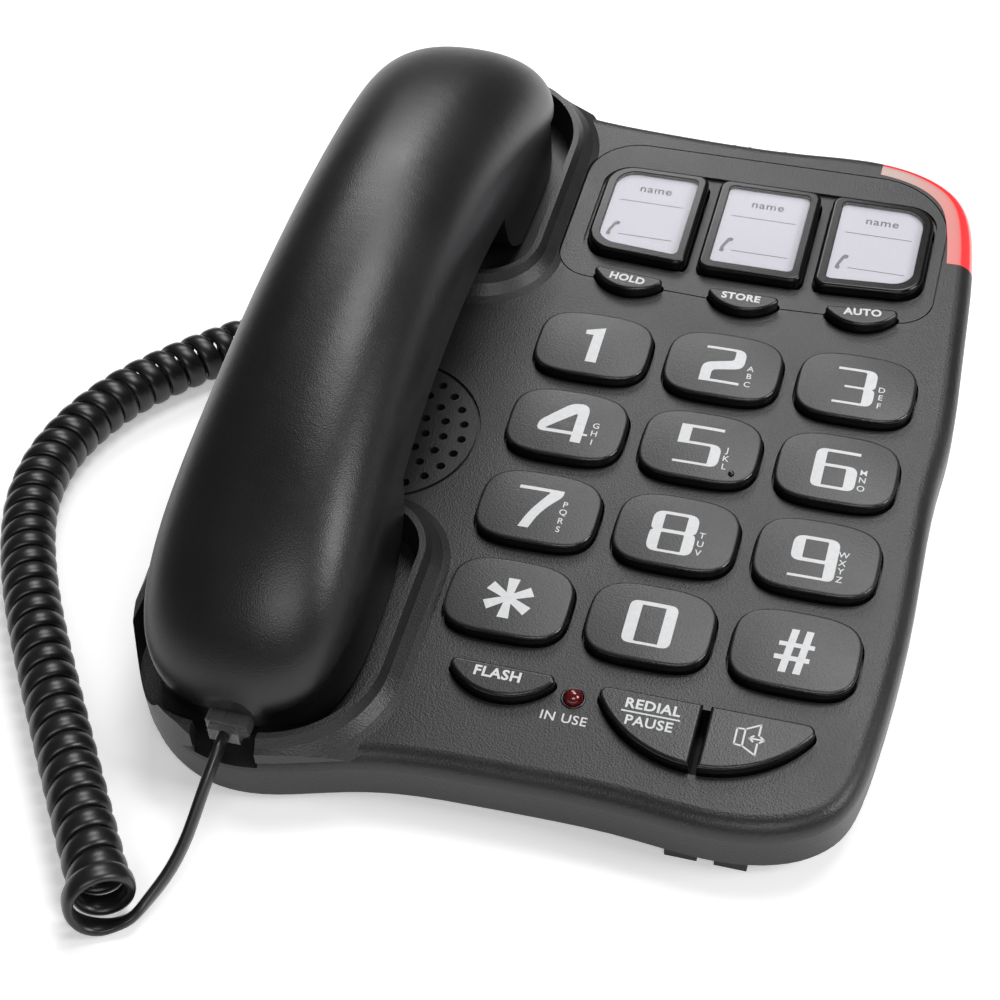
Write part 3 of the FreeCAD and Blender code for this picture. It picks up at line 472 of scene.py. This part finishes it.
prints.append(lay(redial, "print_redial_key", 35.9, -85.4, MOON_TOP, 0, "redial_key"))
prints.append(lay(text_sheet("IN USE", 2.45, 0.03, SPACING), "print_in_use", 17.1, -88.6, 0, 0, "base"))


def strokes(lines, width):
    """Thin bars along straight lines, as one sheet: used for drawn signs."""
    bars = []
    for (x0, y0), (x1, y1) in lines:
        a, b = Vector((x0, y0)), Vector((x1, y1))
        out = (b - a).normalized() * width / 2
        turn = Vector((-out.y, out.x))
        bars.append(outline_sheet([[(*(a - out + turn), 0), (*(a - out - turn), 0), (*(b + out - turn), 0),
                                    (*(b + out + turn), 0)]]))
    return joined(bars)


BAR = 0.42
speaker_sign = strokes([((-3, -2.2), (-3, 2)), ((-3, 2), (-1.2, 2.1)), ((-1.2, 2.1), (-1.2, -2.3)),
                        ((-1.2, -2.3), (-3, -2.2)), ((-1.2, 2.1), (1.9, 3.9)), ((1.9, 3.9), (1.9, 1.1)),
                        ((-1.2, -2.3), (1.9, -4.1)), ((1.9, -4.1), (1.9, -1.2)), ((0.2, 0), (3.0, 0)),
                        ((0, 0), (0.8, 0.7)), ((0, 0), (0.8, -0.7)), ((3.2, 0), (2.4, 0.7)),
                        ((3.2, 0), (2.4, -0.7))], BAR)
prints.append(lay(speaker_sign, "print_speaker_key", 57.9, -86.3, MOON_TOP, 0, "speaker_key"))
print("pieces of print:", len(prints))

# %% [markdown]
# The memory keys hold paper cards under clear windows: a grey word, two lines to write on and a little
# handset sign. The print is generic, and rides with its key.

# %% Print on the cards
CARD_X, CARD_Y = (-0.3, 30.0, 60.3), 72.0
CARD_TOP = 1.7
CARD_INK = 0.04
card_prints = []
HANDSET_SIGN = [[(-1.3, -2.7, 0.3), (-0.2, -2.9, 0.3), (0, -1.7, 0.4), (-0.4, -1.5, 0.2), (0.7, 1.4, 0.3),
                 (1.3, 1.3, 0.3), (1.7, 2.5, 0.4), (0.8, 2.9, 0.4), (0.1, 2.4, 0.8), (-1.2, -1.2, 0.8)]]
for i, x in enumerate(CARD_X):
    parts = [moved(text_sheet("name", 2.75, 0.05, 1.1), 0.2, 9.6),
             outline_sheet([[(-8.6, 4.2, 0), (8.6, 4.2, 0), (8.6, 4.45, 0), (-8.6, 4.45, 0)]]),
             outline_sheet([[(-6.0, -8.9, 0), (8.6, -8.9, 0), (8.6, -8.65, 0), (-6.0, -8.65, 0)]]),
             moved(outline_sheet(HANDSET_SIGN), -7.9, -6.9)]
    card_prints.append(lay(joined(parts), "card_print_%d" % (i + 1), x, CARD_Y, CARD_TOP, 0,
                           "memory_key_%d" % (i + 1), coat=CARD_INK))
print("cards printed:", len(card_prints))

# %% [markdown]
# ## Small details
# A raised pip on the 5 key lets a finger find the middle of the keypad. The lamp sits in a thin collar. Both
# are turned parts, so a profile is spun round an axis. The clear plugs show their gold contacts, which are
# blocks.

# %% Pip and lamp collar
def turned_part(name, profile, x, y, body, segments=40):
    """A profile of (radius, height) spun round an upright axis on the face."""
    bm = bmesh.new()
    verts = [bm.verts.new((r, 0, z)) for r, z in profile]
    edges = [bm.edges.new(pair) for pair in zip(verts, verts[1:])]
    bmesh.ops.spin(bm, geom=verts + edges, cent=(0, 0, 0), axis=(0, 0, 1), angle=math.tau, steps=segments,
                   use_merge=True)
    bmesh.ops.remove_doubles(bm, verts=bm.verts, dist=1e-4)
    bmesh.ops.recalc_face_normals(bm, faces=bm.faces)
    bmesh.ops.translate(bm, verts=bm.verts, vec=(x, y, 0))
    bmesh.ops.transform(bm, matrix=FACE, verts=bm.verts)
    made = finish_mesh(bm, name)
    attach(made, body)
    return made


PIP_OFFSET = (8.95, -7.3)     # from the middle of the 5 key
PIP = [(0, 3.62), (0.35, 3.58), (0.6, 3.45), (0.72, 3.2), (0.72, 2.9), (0, 2.9)]
pip = turned_part("pip_on_5", PIP, KEY_X[1] + PIP_OFFSET[0], KEY_Y[1] + PIP_OFFSET[1], "key_5", 24)
LAMP = (17.95, -82.85)
COLLAR = [(2.3, -0.5), (2.3, 0.12), (2.42, 0.24), (2.7, 0.24), (2.85, 0.12), (2.85, -0.2), (2.6, -0.5),
          (2.3, -0.5)]
collar = turned_part("lamp_collar", COLLAR, *LAMP, "base")
print("pip and collar faces:", len(pip.data.polygons), len(collar.data.polygons))


# %% Contacts in the two plugs
def blocks(name, sizes, body, soft=0.05):
    """Small blocks with softened edges, given as (x0, x1, y0, y1, z0, z1), as one piece."""
    bm = bmesh.new()
    for x0, x1, y0, y1, z0, z1 in sizes:
        place = Matrix.Translation(((x0 + x1) / 2, (y0 + y1) / 2, (z0 + z1) / 2))
        size = Matrix.Diagonal((x1 - x0, y1 - y0, z1 - z0, 1))
        bmesh.ops.create_cube(bm, size=1, matrix=place @ size)
    bmesh.ops.bevel(bm, geom=bm.edges[:], offset=soft, affect="EDGES", segments=2, profile=0.5, material=-1)
    bmesh.ops.transform(bm, matrix=FACE, verts=bm.verts)
    made = finish_mesh(bm, name)
    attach(made, body)
    return made


FRONT_PLUG_X, REAR_PLUG_Y = -53.0, 26
PITCH, HALF = 1.27, 0.25      # of the contacts, and half the width of one
front_contacts = []
rear_contacts = []
for k in (-1.5, -0.5, 0.5, 1.5):
    front, rear = FRONT_PLUG_X + k * PITCH, REAR_PLUG_Y + k * PITCH
    front_contacts.append((front - HALF, front + HALF, -103.5, -98.6, 5.15, 5.6))
    rear_contacts.append((-66.0, -61.2, rear - HALF, rear + HALF, -19.6, -19.2))
contacts = [blocks("handset_plug_contacts", front_contacts, "handset"),
            blocks("base_plug_contacts", rear_contacts, "base")]
print("contacts:", len(front_contacts) + len(rear_contacts))

# %% [markdown]
# Three small words name the slide switches. They stand on the rear wall, so their sheets are turned upright.

# %% Marks for the slide switches on the rear wall
REAR_WALL_Y = 109.0
MARK_Z = -3.4
UPRIGHT = Matrix.Rotation(math.radians(180), 4, "Z") @ Matrix.Rotation(math.radians(90), 4, "X")
rear_prints = []
for word, x in (("RING", 18.0), ("VOLUME", 34.0), ("TONE", 50.0)):
    bm = text_sheet(word, 1.7, 0.01)
    top = bmesh.ops.extrude_face_region(bm, geom=bm.faces[:])["geom"]
    bmesh.ops.translate(bm, verts=[v for v in top if isinstance(v, bmesh.types.BMVert)], vec=(0, 0, PAINT))
    bmesh.ops.recalc_face_normals(bm, faces=bm.faces)
    place = Matrix.Translation((x, REAR_WALL_Y - PAINT * 0.4, MARK_Z))
    bmesh.ops.transform(bm, matrix=FACE @ place @ UPRIGHT, verts=bm.verts)
    made = finish_mesh(bm, "print_rear_" + word.lower(), False)
    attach(made, "base")
    rear_prints.append(made)
print("rear marks:", len(rear_prints))

# %% [markdown]
# ## Finishes
# Almost everything is black plastic, but no two blacks are alike. The case is moulded in a spark-eroded
# mould, which leaves a fine grain; the handset has a finer one with a broad soft shine; the key tops are
# satin and their sides are polished. One group of nodes makes the grain, another a faint unevenness in
# colour and gloss.

# %% Node helpers
def new_group(name, inputs, outputs):
    """A node group with its sockets, given as (label, kind, default value)."""
    group = bpy.data.node_groups.new(name, "ShaderNodeTree")
    for kind, direction in ((inputs, "INPUT"), (outputs, "OUTPUT")):
        for label, socket, value in kind:
            item = group.interface.new_socket(label, in_out=direction, socket_type="NodeSocket" + socket)
            if value is not None:
                item.default_value = value
    return group, group.nodes.new("NodeGroupInput"), group.nodes.new("NodeGroupOutput")


def add(tree, kind, values=None, **links):
    """A node with plain values set on its sockets or properties, and links into its named sockets."""
    node = tree.nodes.new(kind)
    for key, value in (values or {}).items():
        if isinstance(key, str) and hasattr(node, key):
            setattr(node, key, value)
        else:
            node.inputs[key].default_value = value
    for key, source in links.items():
        numbered = key[0] == "i" and key[1:].isdigit()      # i0, i1 and i2 stand for unnamed sockets
        tree.links.new(source, node.inputs[int(key[1:]) if numbered else key])
    return node


grain_group, gin, gout = new_group(
    "mould_grain",
    [("Grain size", "Float", 1.0), ("Depth", "Float", 0.3), ("Base colour", "Color", (0.03, 0.03, 0.03, 1)),
     ("Roughness", "Float", 0.5), ("Colour change", "Float", 0.15)],
    [("Colour", "Color", None), ("Roughness", "Float", None), ("Normal", "Vector", None)])
place = add(grain_group, "ShaderNodeTexCoord")
inverse = add(grain_group, "ShaderNodeMath", {"operation": "DIVIDE", 0: 2300.0}, i1=gin.outputs["Grain size"])
grain = add(grain_group, "ShaderNodeTexNoise", {"Detail": 2.0, "Roughness": 0.6},
            Vector=place.outputs["Object"], Scale=inverse.outputs[0])
pits = add(grain_group, "ShaderNodeTexVoronoi", {"feature": "SMOOTH_F1", "Smoothness": 0.6},
           Vector=place.outputs["Object"], Scale=inverse.outputs[0])
mixed = add(grain_group, "ShaderNodeMath", {"operation": "ADD"}, i0=grain.outputs["Fac"],
            i1=pits.outputs["Distance"])
bump = add(grain_group, "ShaderNodeBump", {"Distance": 0.00008}, Height=mixed.outputs[0],
           Strength=gin.outputs["Depth"])
cloud = add(grain_group, "ShaderNodeTexNoise", {"Scale": 38.0, "Detail": 5.0, "Roughness": 0.62},
            Vector=place.outputs["Object"])
NOISE_SPAN = {"From Min": 0.3, "From Max": 0.7}     # nearly all of a noise's values lie between these
speck = add(grain_group, "ShaderNodeMapRange", {**NOISE_SPAN, "To Min": -1.0, "To Max": 1.0},
            Value=grain.outputs["Fac"])
drift = add(grain_group, "ShaderNodeMapRange", {**NOISE_SPAN, "To Min": -0.6, "To Max": 0.6},
            Value=cloud.outputs["Fac"])
both = add(grain_group, "ShaderNodeMath", {"operation": "ADD"}, i0=speck.outputs[0], i1=drift.outputs[0])
change = add(grain_group, "ShaderNodeMath", {"operation": "MULTIPLY_ADD", 2: 1.0}, i0=both.outputs[0],
             i1=gin.outputs["Colour change"])
tint = add(grain_group, "ShaderNodeVectorMath", {"operation": "SCALE"}, i0=gin.outputs["Base colour"],
           Scale=change.outputs[0])
rough = add(grain_group, "ShaderNodeMath", {"operation": "MULTIPLY_ADD", 1: 0.06}, i0=drift.outputs[0],
            i2=gin.outputs["Roughness"])
for label, made in (("Colour", tint), ("Roughness", rough), ("Normal", bump)):
    grain_group.links.new(made.outputs[0], gout.inputs[label])
print("grain group nodes:", len(grain_group.nodes))

# %% [markdown]
# Hands and dust leave broad, faint patches. The second group answers with a soft mask of them, and the
# plastic is a little paler there. What changes over the surface goes through the groups; what doesn't is set
# on the shader.

# %% Handling and dust
dust_group, din, dout = new_group("handling", [("Patch size", "Float", 1.0), ("Amount", "Float", 0.3)],
                                  [("Mask", "Float", None)])
spot = add(dust_group, "ShaderNodeTexCoord")
scale = add(dust_group, "ShaderNodeMath", {"operation": "DIVIDE", 0: 16.0}, i1=din.outputs["Patch size"])
wide = add(dust_group, "ShaderNodeTexNoise", {"Detail": 6.0, "Roughness": 0.68, "Distortion": 0.4},
           Vector=spot.outputs["Object"], Scale=scale.outputs[0])
cut = add(dust_group, "ShaderNodeMapRange", {"From Min": 0.46, "From Max": 0.74}, Value=wide.outputs["Fac"])
amount = add(dust_group, "ShaderNodeMath", {"operation": "MULTIPLY"}, i0=cut.outputs[0],
             i1=din.outputs["Amount"])
dust_group.links.new(amount.outputs[0], dout.inputs["Mask"])
print("handling group nodes:", len(dust_group.nodes))


def start_material(name):
    """A new material, its node tree and its shader."""
    material = bpy.data.materials.new(name)
    material.use_nodes = True
    return material, material.node_tree, material.node_tree.nodes["Principled BSDF"]


def plastic(name, colour, roughness, grain_size, depth, change=0.12, dust=0.2):
    """Moulded plastic with grain, a little unevenness and a trace of handling."""
    material, tree, shader = start_material(name)
    grains = add(tree, "ShaderNodeGroup", {"node_tree": grain_group})
    grains.inputs["Grain size"].default_value = grain_size
    grains.inputs["Depth"].default_value = depth
    grains.inputs["Base colour"].default_value = (*colour, 1)
    grains.inputs["Roughness"].default_value = roughness
    grains.inputs["Colour change"].default_value = change
    handling = add(tree, "ShaderNodeGroup", {"node_tree": dust_group})
    handling.inputs["Amount"].default_value = dust
    pale = tuple(c * 1.5 + 0.006 for c in colour)
    blend = add(tree, "ShaderNodeMix", {"data_type": "RGBA"})
    blend.inputs[7].default_value = (*pale, 1)
    tree.links.new(handling.outputs["Mask"], blend.inputs[0])
    tree.links.new(grains.outputs["Colour"], blend.inputs[6])
    tree.links.new(blend.outputs[2], shader.inputs["Base Color"])
    tree.links.new(grains.outputs["Roughness"], shader.inputs["Roughness"])
    tree.links.new(grains.outputs["Normal"], shader.inputs["Normal"])
    return material


case = plastic("case plastic", (0.011, 0.011, 0.0108), 0.4, 1.0, 0.55, 0.4)
under_case = plastic("lower case plastic", (0.015, 0.0145, 0.013), 0.42, 1.0, 0.4, 0.2)
handset_plastic = plastic("handset plastic", (0.005, 0.005, 0.0053), 0.36, 0.8, 0.35, 0.3)
gloss_black = plastic("polished black", (0.006, 0.006, 0.0065), 0.16, 1.4, 0.05, 0.1, dust=0.08)
dull_part = plastic("hidden parts plastic", (0.03, 0.03, 0.033), 0.5, 1.0, 0.3)
foot_rubber = plastic("foot rubber", (0.018, 0.018, 0.018), 0.75, 1.8, 0.5, 0.2)
mat_rubber = plastic("key mat silicone", (0.012, 0.012, 0.0125), 0.62, 1.5, 0.3, 0.15)
board_green = plastic("circuit board", (0.02, 0.11, 0.045), 0.35, 2.0, 0.2, 0.2)
print("materials so far:", len(bpy.data.materials))

# %% [markdown]
# A key is satin on top and polished at its sides, because the mould's cavity was only etched at the bottom.
# The material tells the two apart by which way the surface faces, and changes from one to the other over the
# rounded edge. The top is also painted a paler colour than the sides: painted light on the top, painted
# shade at the sides.

# %% Key plastic
FACE_NORMAL = (0, -math.sin(TILT), math.cos(TILT))


def key_plastic(name, lit_top_colour, top_rough, shaded_side_colour, side_rough, specular=0.5, depth=0.34):
    """Satin plastic with grain where it faces up from the face, and polished plastic at its sides, with a
    paler painted-lit top colour and a darker painted-shade side colour.
    """
    material, tree, shader = start_material(name)
    grains = add(tree, "ShaderNodeGroup", {"node_tree": grain_group})
    grains.inputs["Grain size"].default_value = 1.0
    grains.inputs["Depth"].default_value = depth
    grains.inputs["Base colour"].default_value = (*lit_top_colour, 1)
    grains.inputs["Roughness"].default_value = top_rough
    grains.inputs["Colour change"].default_value = 0.28
    spot = add(tree, "ShaderNodeTexCoord")
    facing = add(tree, "ShaderNodeVectorMath", {"operation": "DOT_PRODUCT", 1: FACE_NORMAL},
                 i0=spot.outputs["Normal"])
    up = add(tree, "ShaderNodeMapRange", {"From Min": 0.72, "From Max": 0.93}, Value=facing.outputs["Value"])
    # Painted light: where the key faces up it takes the paler top colour, where it faces sideways the darker
    # side colour.
    colour = add(tree, "ShaderNodeMix", {"data_type": "RGBA"})
    colour.inputs[6].default_value = (*shaded_side_colour, 1)
    tree.links.new(up.outputs[0], colour.inputs[0])
    tree.links.new(grains.outputs["Colour"], colour.inputs[7])
    gloss = add(tree, "ShaderNodeMix", {"data_type": "FLOAT"})
    gloss.inputs[2].default_value = side_rough
    tree.links.new(up.outputs[0], gloss.inputs[0])
    tree.links.new(grains.outputs["Roughness"], gloss.inputs[3])
    tree.links.new(colour.outputs[2], shader.inputs["Base Color"])
    tree.links.new(gloss.outputs[0], shader.inputs["Roughness"])
    shader.inputs["Specular IOR Level"].default_value = specular
    tree.links.new(grains.outputs["Normal"], shader.inputs["Normal"])
    return material


# On the digit and half-moon keys the tops are painted paler than the sides: painted light on the tops,
# painted shade on the sides.
KEY_SHADED_SIDE = (0.004, 0.004, 0.0045)
MEMORY_KEY = (0.003, 0.003, 0.0034)
key_black = key_plastic("key plastic", (0.026, 0.026, 0.027), 0.38, KEY_SHADED_SIDE, 0.2)
moon_black = key_plastic("half-moon key plastic", (0.008, 0.008, 0.0085), 0.34, KEY_SHADED_SIDE, 0.2)
frame_black = key_plastic("memory key plastic", MEMORY_KEY, 0.2, MEMORY_KEY, 0.16, 0.3, 0.08)
print("materials so far:", len(bpy.data.materials))

# %% [markdown]
# The ringer lens is red translucent plastic with light painted into its colour: a pale painted highlight on
# its top and strong red at the side, picked by which way the surface faces, and redder again towards its
# right end. A little painted glow of its own stands for light passing through it. The lamp is made the same
# way, as a dark red dome with a paler painted top.

# %% Red lens and lamp
LENS_FROM, LENS_TO = 0.062, 0.088      # metres across the phone over which the tone deepens


def red_plastic(name, top, side, painted_glow, roughness, deep_tone):
    material, tree, shader = start_material(name)
    spot = add(tree, "ShaderNodeTexCoord")
    facing = add(tree, "ShaderNodeVectorMath", {"operation": "DOT_PRODUCT", 1: FACE_NORMAL},
                 i0=spot.outputs["Normal"])
    ripple = add(tree, "ShaderNodeTexNoise", {"Scale": 60.0, "Detail": 3.0}, Vector=spot.outputs["Object"])
    wobble = add(tree, "ShaderNodeMath", {"operation": "MULTIPLY_ADD", 1: 0.02}, i0=ripple.outputs["Fac"],
                 i2=facing.outputs["Value"])
    # Painted light: where the surface faces up the lens takes the pale top tone, elsewhere the red side tone.
    ramp = add(tree, "ShaderNodeValToRGB")
    tree.links.new(wobble.outputs[0], ramp.inputs[0])
    ramp.color_ramp.elements[0].position = 0.975
    ramp.color_ramp.elements[0].color = (*side, 1)
    ramp.color_ramp.elements[1].position = 1.0
    ramp.color_ramp.elements[1].color = (*top, 1)
    across = add(tree, "ShaderNodeSeparateXYZ", i0=spot.outputs["Object"])
    share = add(tree, "ShaderNodeMapRange", {"From Min": LENS_FROM, "From Max": LENS_TO, "To Max": 0.75},
                Value=across.outputs[0])
    deep = add(tree, "ShaderNodeMix", {"data_type": "RGBA"})
    deep.inputs[7].default_value = (*deep_tone, 1)
    tree.links.new(share.outputs[0], deep.inputs[0])
    tree.links.new(ramp.outputs[0], deep.inputs[6])
    tree.links.new(deep.outputs[2], shader.inputs["Base Color"])
    # Painted glow: the lens gives off a little light in its own colour, standing for light passing through
    # it.
    tree.links.new(deep.outputs[2], shader.inputs["Emission Color"])
    shader.inputs["Emission Strength"].default_value = painted_glow
    shader.inputs["Roughness"].default_value = roughness
    shader.inputs["Coat Weight"].default_value = 0.6
    shader.inputs["Coat Roughness"].default_value = 0.05
    return material


# The pale top tone is a painted highlight and the glow is painted light.
lens_red = red_plastic("ringer lens", (0.46, 0.33, 0.30), (0.8, 0.003, 0.01), 0.25, 0.25, (0.8, 0.06, 0.06))
# The lamp's paler top is painted light; its darker red side is painted shade.
LAMP_LIT_TOP = (0.16, 0.003, 0.004)
lamp_red = red_plastic("lamp dome", LAMP_LIT_TOP, (0.09, 0.001, 0.002), 0.05, 0.12, LAMP_LIT_TOP)
print("materials so far:", len(bpy.data.materials))

# %% [markdown]
# Print is white ink, very slightly uneven. The cards are smooth paper with a trace of fibre, under windows
# of clear plastic. The cord's jacket is shiny black and faintly uneven. The metals and the loudspeaker
# cones, which are mostly hidden, are made with the same helper.

# %% Ink, paper, clear plastic, cord, metals
def speckled(name, light, dark, scale, roughness, bump_mm=0.0, metal=0.0):
    """A simple finish: two close tones in a fine pattern, with its own bumps."""
    material, tree, shader = start_material(name)
    spot = add(tree, "ShaderNodeTexCoord")
    noise = add(tree, "ShaderNodeTexNoise", {"Scale": scale, "Detail": 4.0}, Vector=spot.outputs["Object"])
    ramp = add(tree, "ShaderNodeValToRGB")
    tree.links.new(noise.outputs["Fac"], ramp.inputs[0])
    ramp.color_ramp.elements[0].position = 0.3
    ramp.color_ramp.elements[0].color = (*dark, 1)
    ramp.color_ramp.elements[1].position = 0.7
    ramp.color_ramp.elements[1].color = (*light, 1)
    tree.links.new(ramp.outputs[0], shader.inputs["Base Color"])
    vary = add(tree, "ShaderNodeMapRange", {"To Min": roughness - 0.05, "To Max": roughness + 0.05},
               Value=noise.outputs["Fac"])
    tree.links.new(vary.outputs[0], shader.inputs["Roughness"])
    if bump_mm:
        bump = add(tree, "ShaderNodeBump", {"Distance": bump_mm * MM, "Strength": 0.5},
                   Height=noise.outputs["Fac"])
        tree.links.new(bump.outputs[0], shader.inputs["Normal"])
    shader.inputs["Metallic"].default_value = metal
    return material


ink = speckled("white ink", (0.68, 0.69, 0.7), (0.6, 0.61, 0.62), 900, 0.5)
grey_ink = speckled("grey ink", (0.13, 0.13, 0.14), (0.09, 0.09, 0.1), 900, 0.6)
paper = speckled("card paper", (0.6, 0.58, 0.65), (0.56, 0.545, 0.61), 1500, 0.8)
jacket = speckled("cord jacket", (0.009, 0.009, 0.0095), (0.006, 0.006, 0.0065), 260, 0.33, 0.02)
steel = speckled("zinc plated steel", (0.62, 0.61, 0.58), (0.5, 0.5, 0.48), 700, 0.32, 0.01, metal=1.0)
gold = speckled("gold contacts", (0.9, 0.66, 0.28), (0.8, 0.56, 0.2), 500, 0.25, metal=1.0)
cone = speckled("loudspeaker", (0.035, 0.035, 0.036), (0.02, 0.02, 0.021), 700, 0.7, 0.03)


def clear_plastic(name, tint, roughness, alpha, transmission):
    """The plugs bend light as glass does, and the thin windows only let the cards show through."""
    material, tree, shader = start_material(name)
    spot = add(tree, "ShaderNodeTexCoord")
    noise = add(tree, "ShaderNodeTexNoise", {"Scale": 300.0, "Detail": 2.0}, Vector=spot.outputs["Object"])
    vary = add(tree, "ShaderNodeMapRange", {"To Min": roughness, "To Max": roughness + 0.06},
               Value=noise.outputs["Fac"])
    tree.links.new(vary.outputs[0], shader.inputs["Roughness"])
    shader.inputs["Base Color"].default_value = (*tint, 1)
    shader.inputs["Transmission Weight"].default_value = transmission
    shader.inputs["IOR"].default_value = 1.46
    shader.inputs["Alpha"].default_value = alpha
    return material


clear = clear_plastic("clear plug plastic", (0.93, 0.94, 0.95), 0.03, 1.0, 0.95)
window = clear_plastic("card window", (1.0, 1.0, 1.0), 0.05, 0.06, 0.0)
print("materials so far:", len(bpy.data.materials))

# %% [markdown]
# Every piece gets one finish. The table lists them by material, as CAD node names or as the pieces made
# above.

# %% Giving every piece its finish
FINISHES = {
    case: ["base_top_shell", "memory_panel", "hook_plunger"],
    under_case: ["base_bottom_shell", "desk_stand"],
    handset_plastic: ["handset_outer_shell", "handset_inner_shell"],
    key_black: ["key_" + k for k in KEYS],
    moon_black: ["hold_key", "store_key", "auto_key", "flash_key", "redial_key", "speaker_key"],
    frame_black: ["memory_key_1", "memory_key_2", "memory_key_3"],
    lens_red: ["ringer_lens"],
    lamp_red: ["in_use_lamp"],
    mat_rubber: ["keypad_mat"],
    board_green: ["main_board"],
    foot_rubber: ["stand_feet", "front_feet"],
    dull_part: ["hook_switch", "line_jack", "base_jack", "handset_jack", "ringer_switch", "volume_switch",
                "tone_switch"],
    cone: ["loudspeaker", "earpiece", "microphone"],
    steel: ["handset_weight", "handset_screws", "case_screws"],
    paper: ["label_card_1", "label_card_2", "label_card_3"],
    window: ["card_window_1", "card_window_2", "card_window_3"],
    clear: ["handset_plug", "base_plug"],
    ink: prints + rear_prints,
    grey_ink: card_prints,
    gloss_black: [pip, collar],
    jacket: [cord],
    gold: contacts,
}
for material, pieces in FINISHES.items():
    for piece in pieces:
        piece = nodes[piece] if isinstance(piece, str) else piece
        piece.data.materials.clear()
        piece.data.materials.append(material)

# %% [markdown]
# ## Studio
# A pale floor and four soft lights: one above, one behind on the left, a broad one in front and one on the
# right. The world adds an even light. Black plastic shows mostly what it reflects, so the lights are larger
# than the phone.

# %% Floor and lights
bm = bmesh.new()
bmesh.ops.create_grid(bm, x_segments=1, y_segments=1, size=6.0)
floor = finish_mesh(bm, "floor", False)
floor_paint, _, floor_shader = start_material("floor")
floor_shader.inputs["Base Color"].default_value = (0.93, 0.93, 0.93, 1)
floor_shader.inputs["Roughness"].default_value = 0.9
floor_shader.inputs["Specular IOR Level"].default_value = 0.1
floor_shader.inputs["Emission Color"].default_value = (1, 1, 1, 1)
floor_shader.inputs["Emission Strength"].default_value = 0.34
floor.data.materials.append(floor_paint)


def softbox(name, place, target, size, power):
    """A rectangular lamp at a place, turned to a target."""
    light = bpy.data.lights.new(name, "AREA")
    light.shape = "RECTANGLE"
    light.size, light.size_y = size
    light.energy = power
    made = bpy.data.objects.new(name, light)
    made.location = place
    made.rotation_euler = (Vector(target) - Vector(place)).to_track_quat("-Z", "Y").to_euler()
    bpy.context.scene.collection.objects.link(made)


softbox("light_above", (0.2, 0.42, 1.25), (0.04, 0.0, 0.03), (0.65, 0.5), 8.0)
softbox("light_back_left", (-0.32, 0.95, 1.0), (-0.03, 0.05, 0.05), (0.5, 0.4), 5.0)
softbox("light_front", (0.4, -1.2, 1.1), (0.0, 0.0, 0.03), (1.0, 0.5), 7.5)
softbox("light_right", (1.3, -0.1, 0.9), (0.05, 0.0, 0.03), (0.6, 0.6), 11.0)
world = bpy.data.worlds.new("studio")
world.use_nodes = True
world.node_tree.nodes["Background"].inputs["Color"].default_value = (1.0, 1.0, 1.0, 1)
world.node_tree.nodes["Background"].inputs["Strength"].default_value = 0.12
bpy.context.scene.world = world
bpy.context.scene.view_settings.view_transform = "Standard"
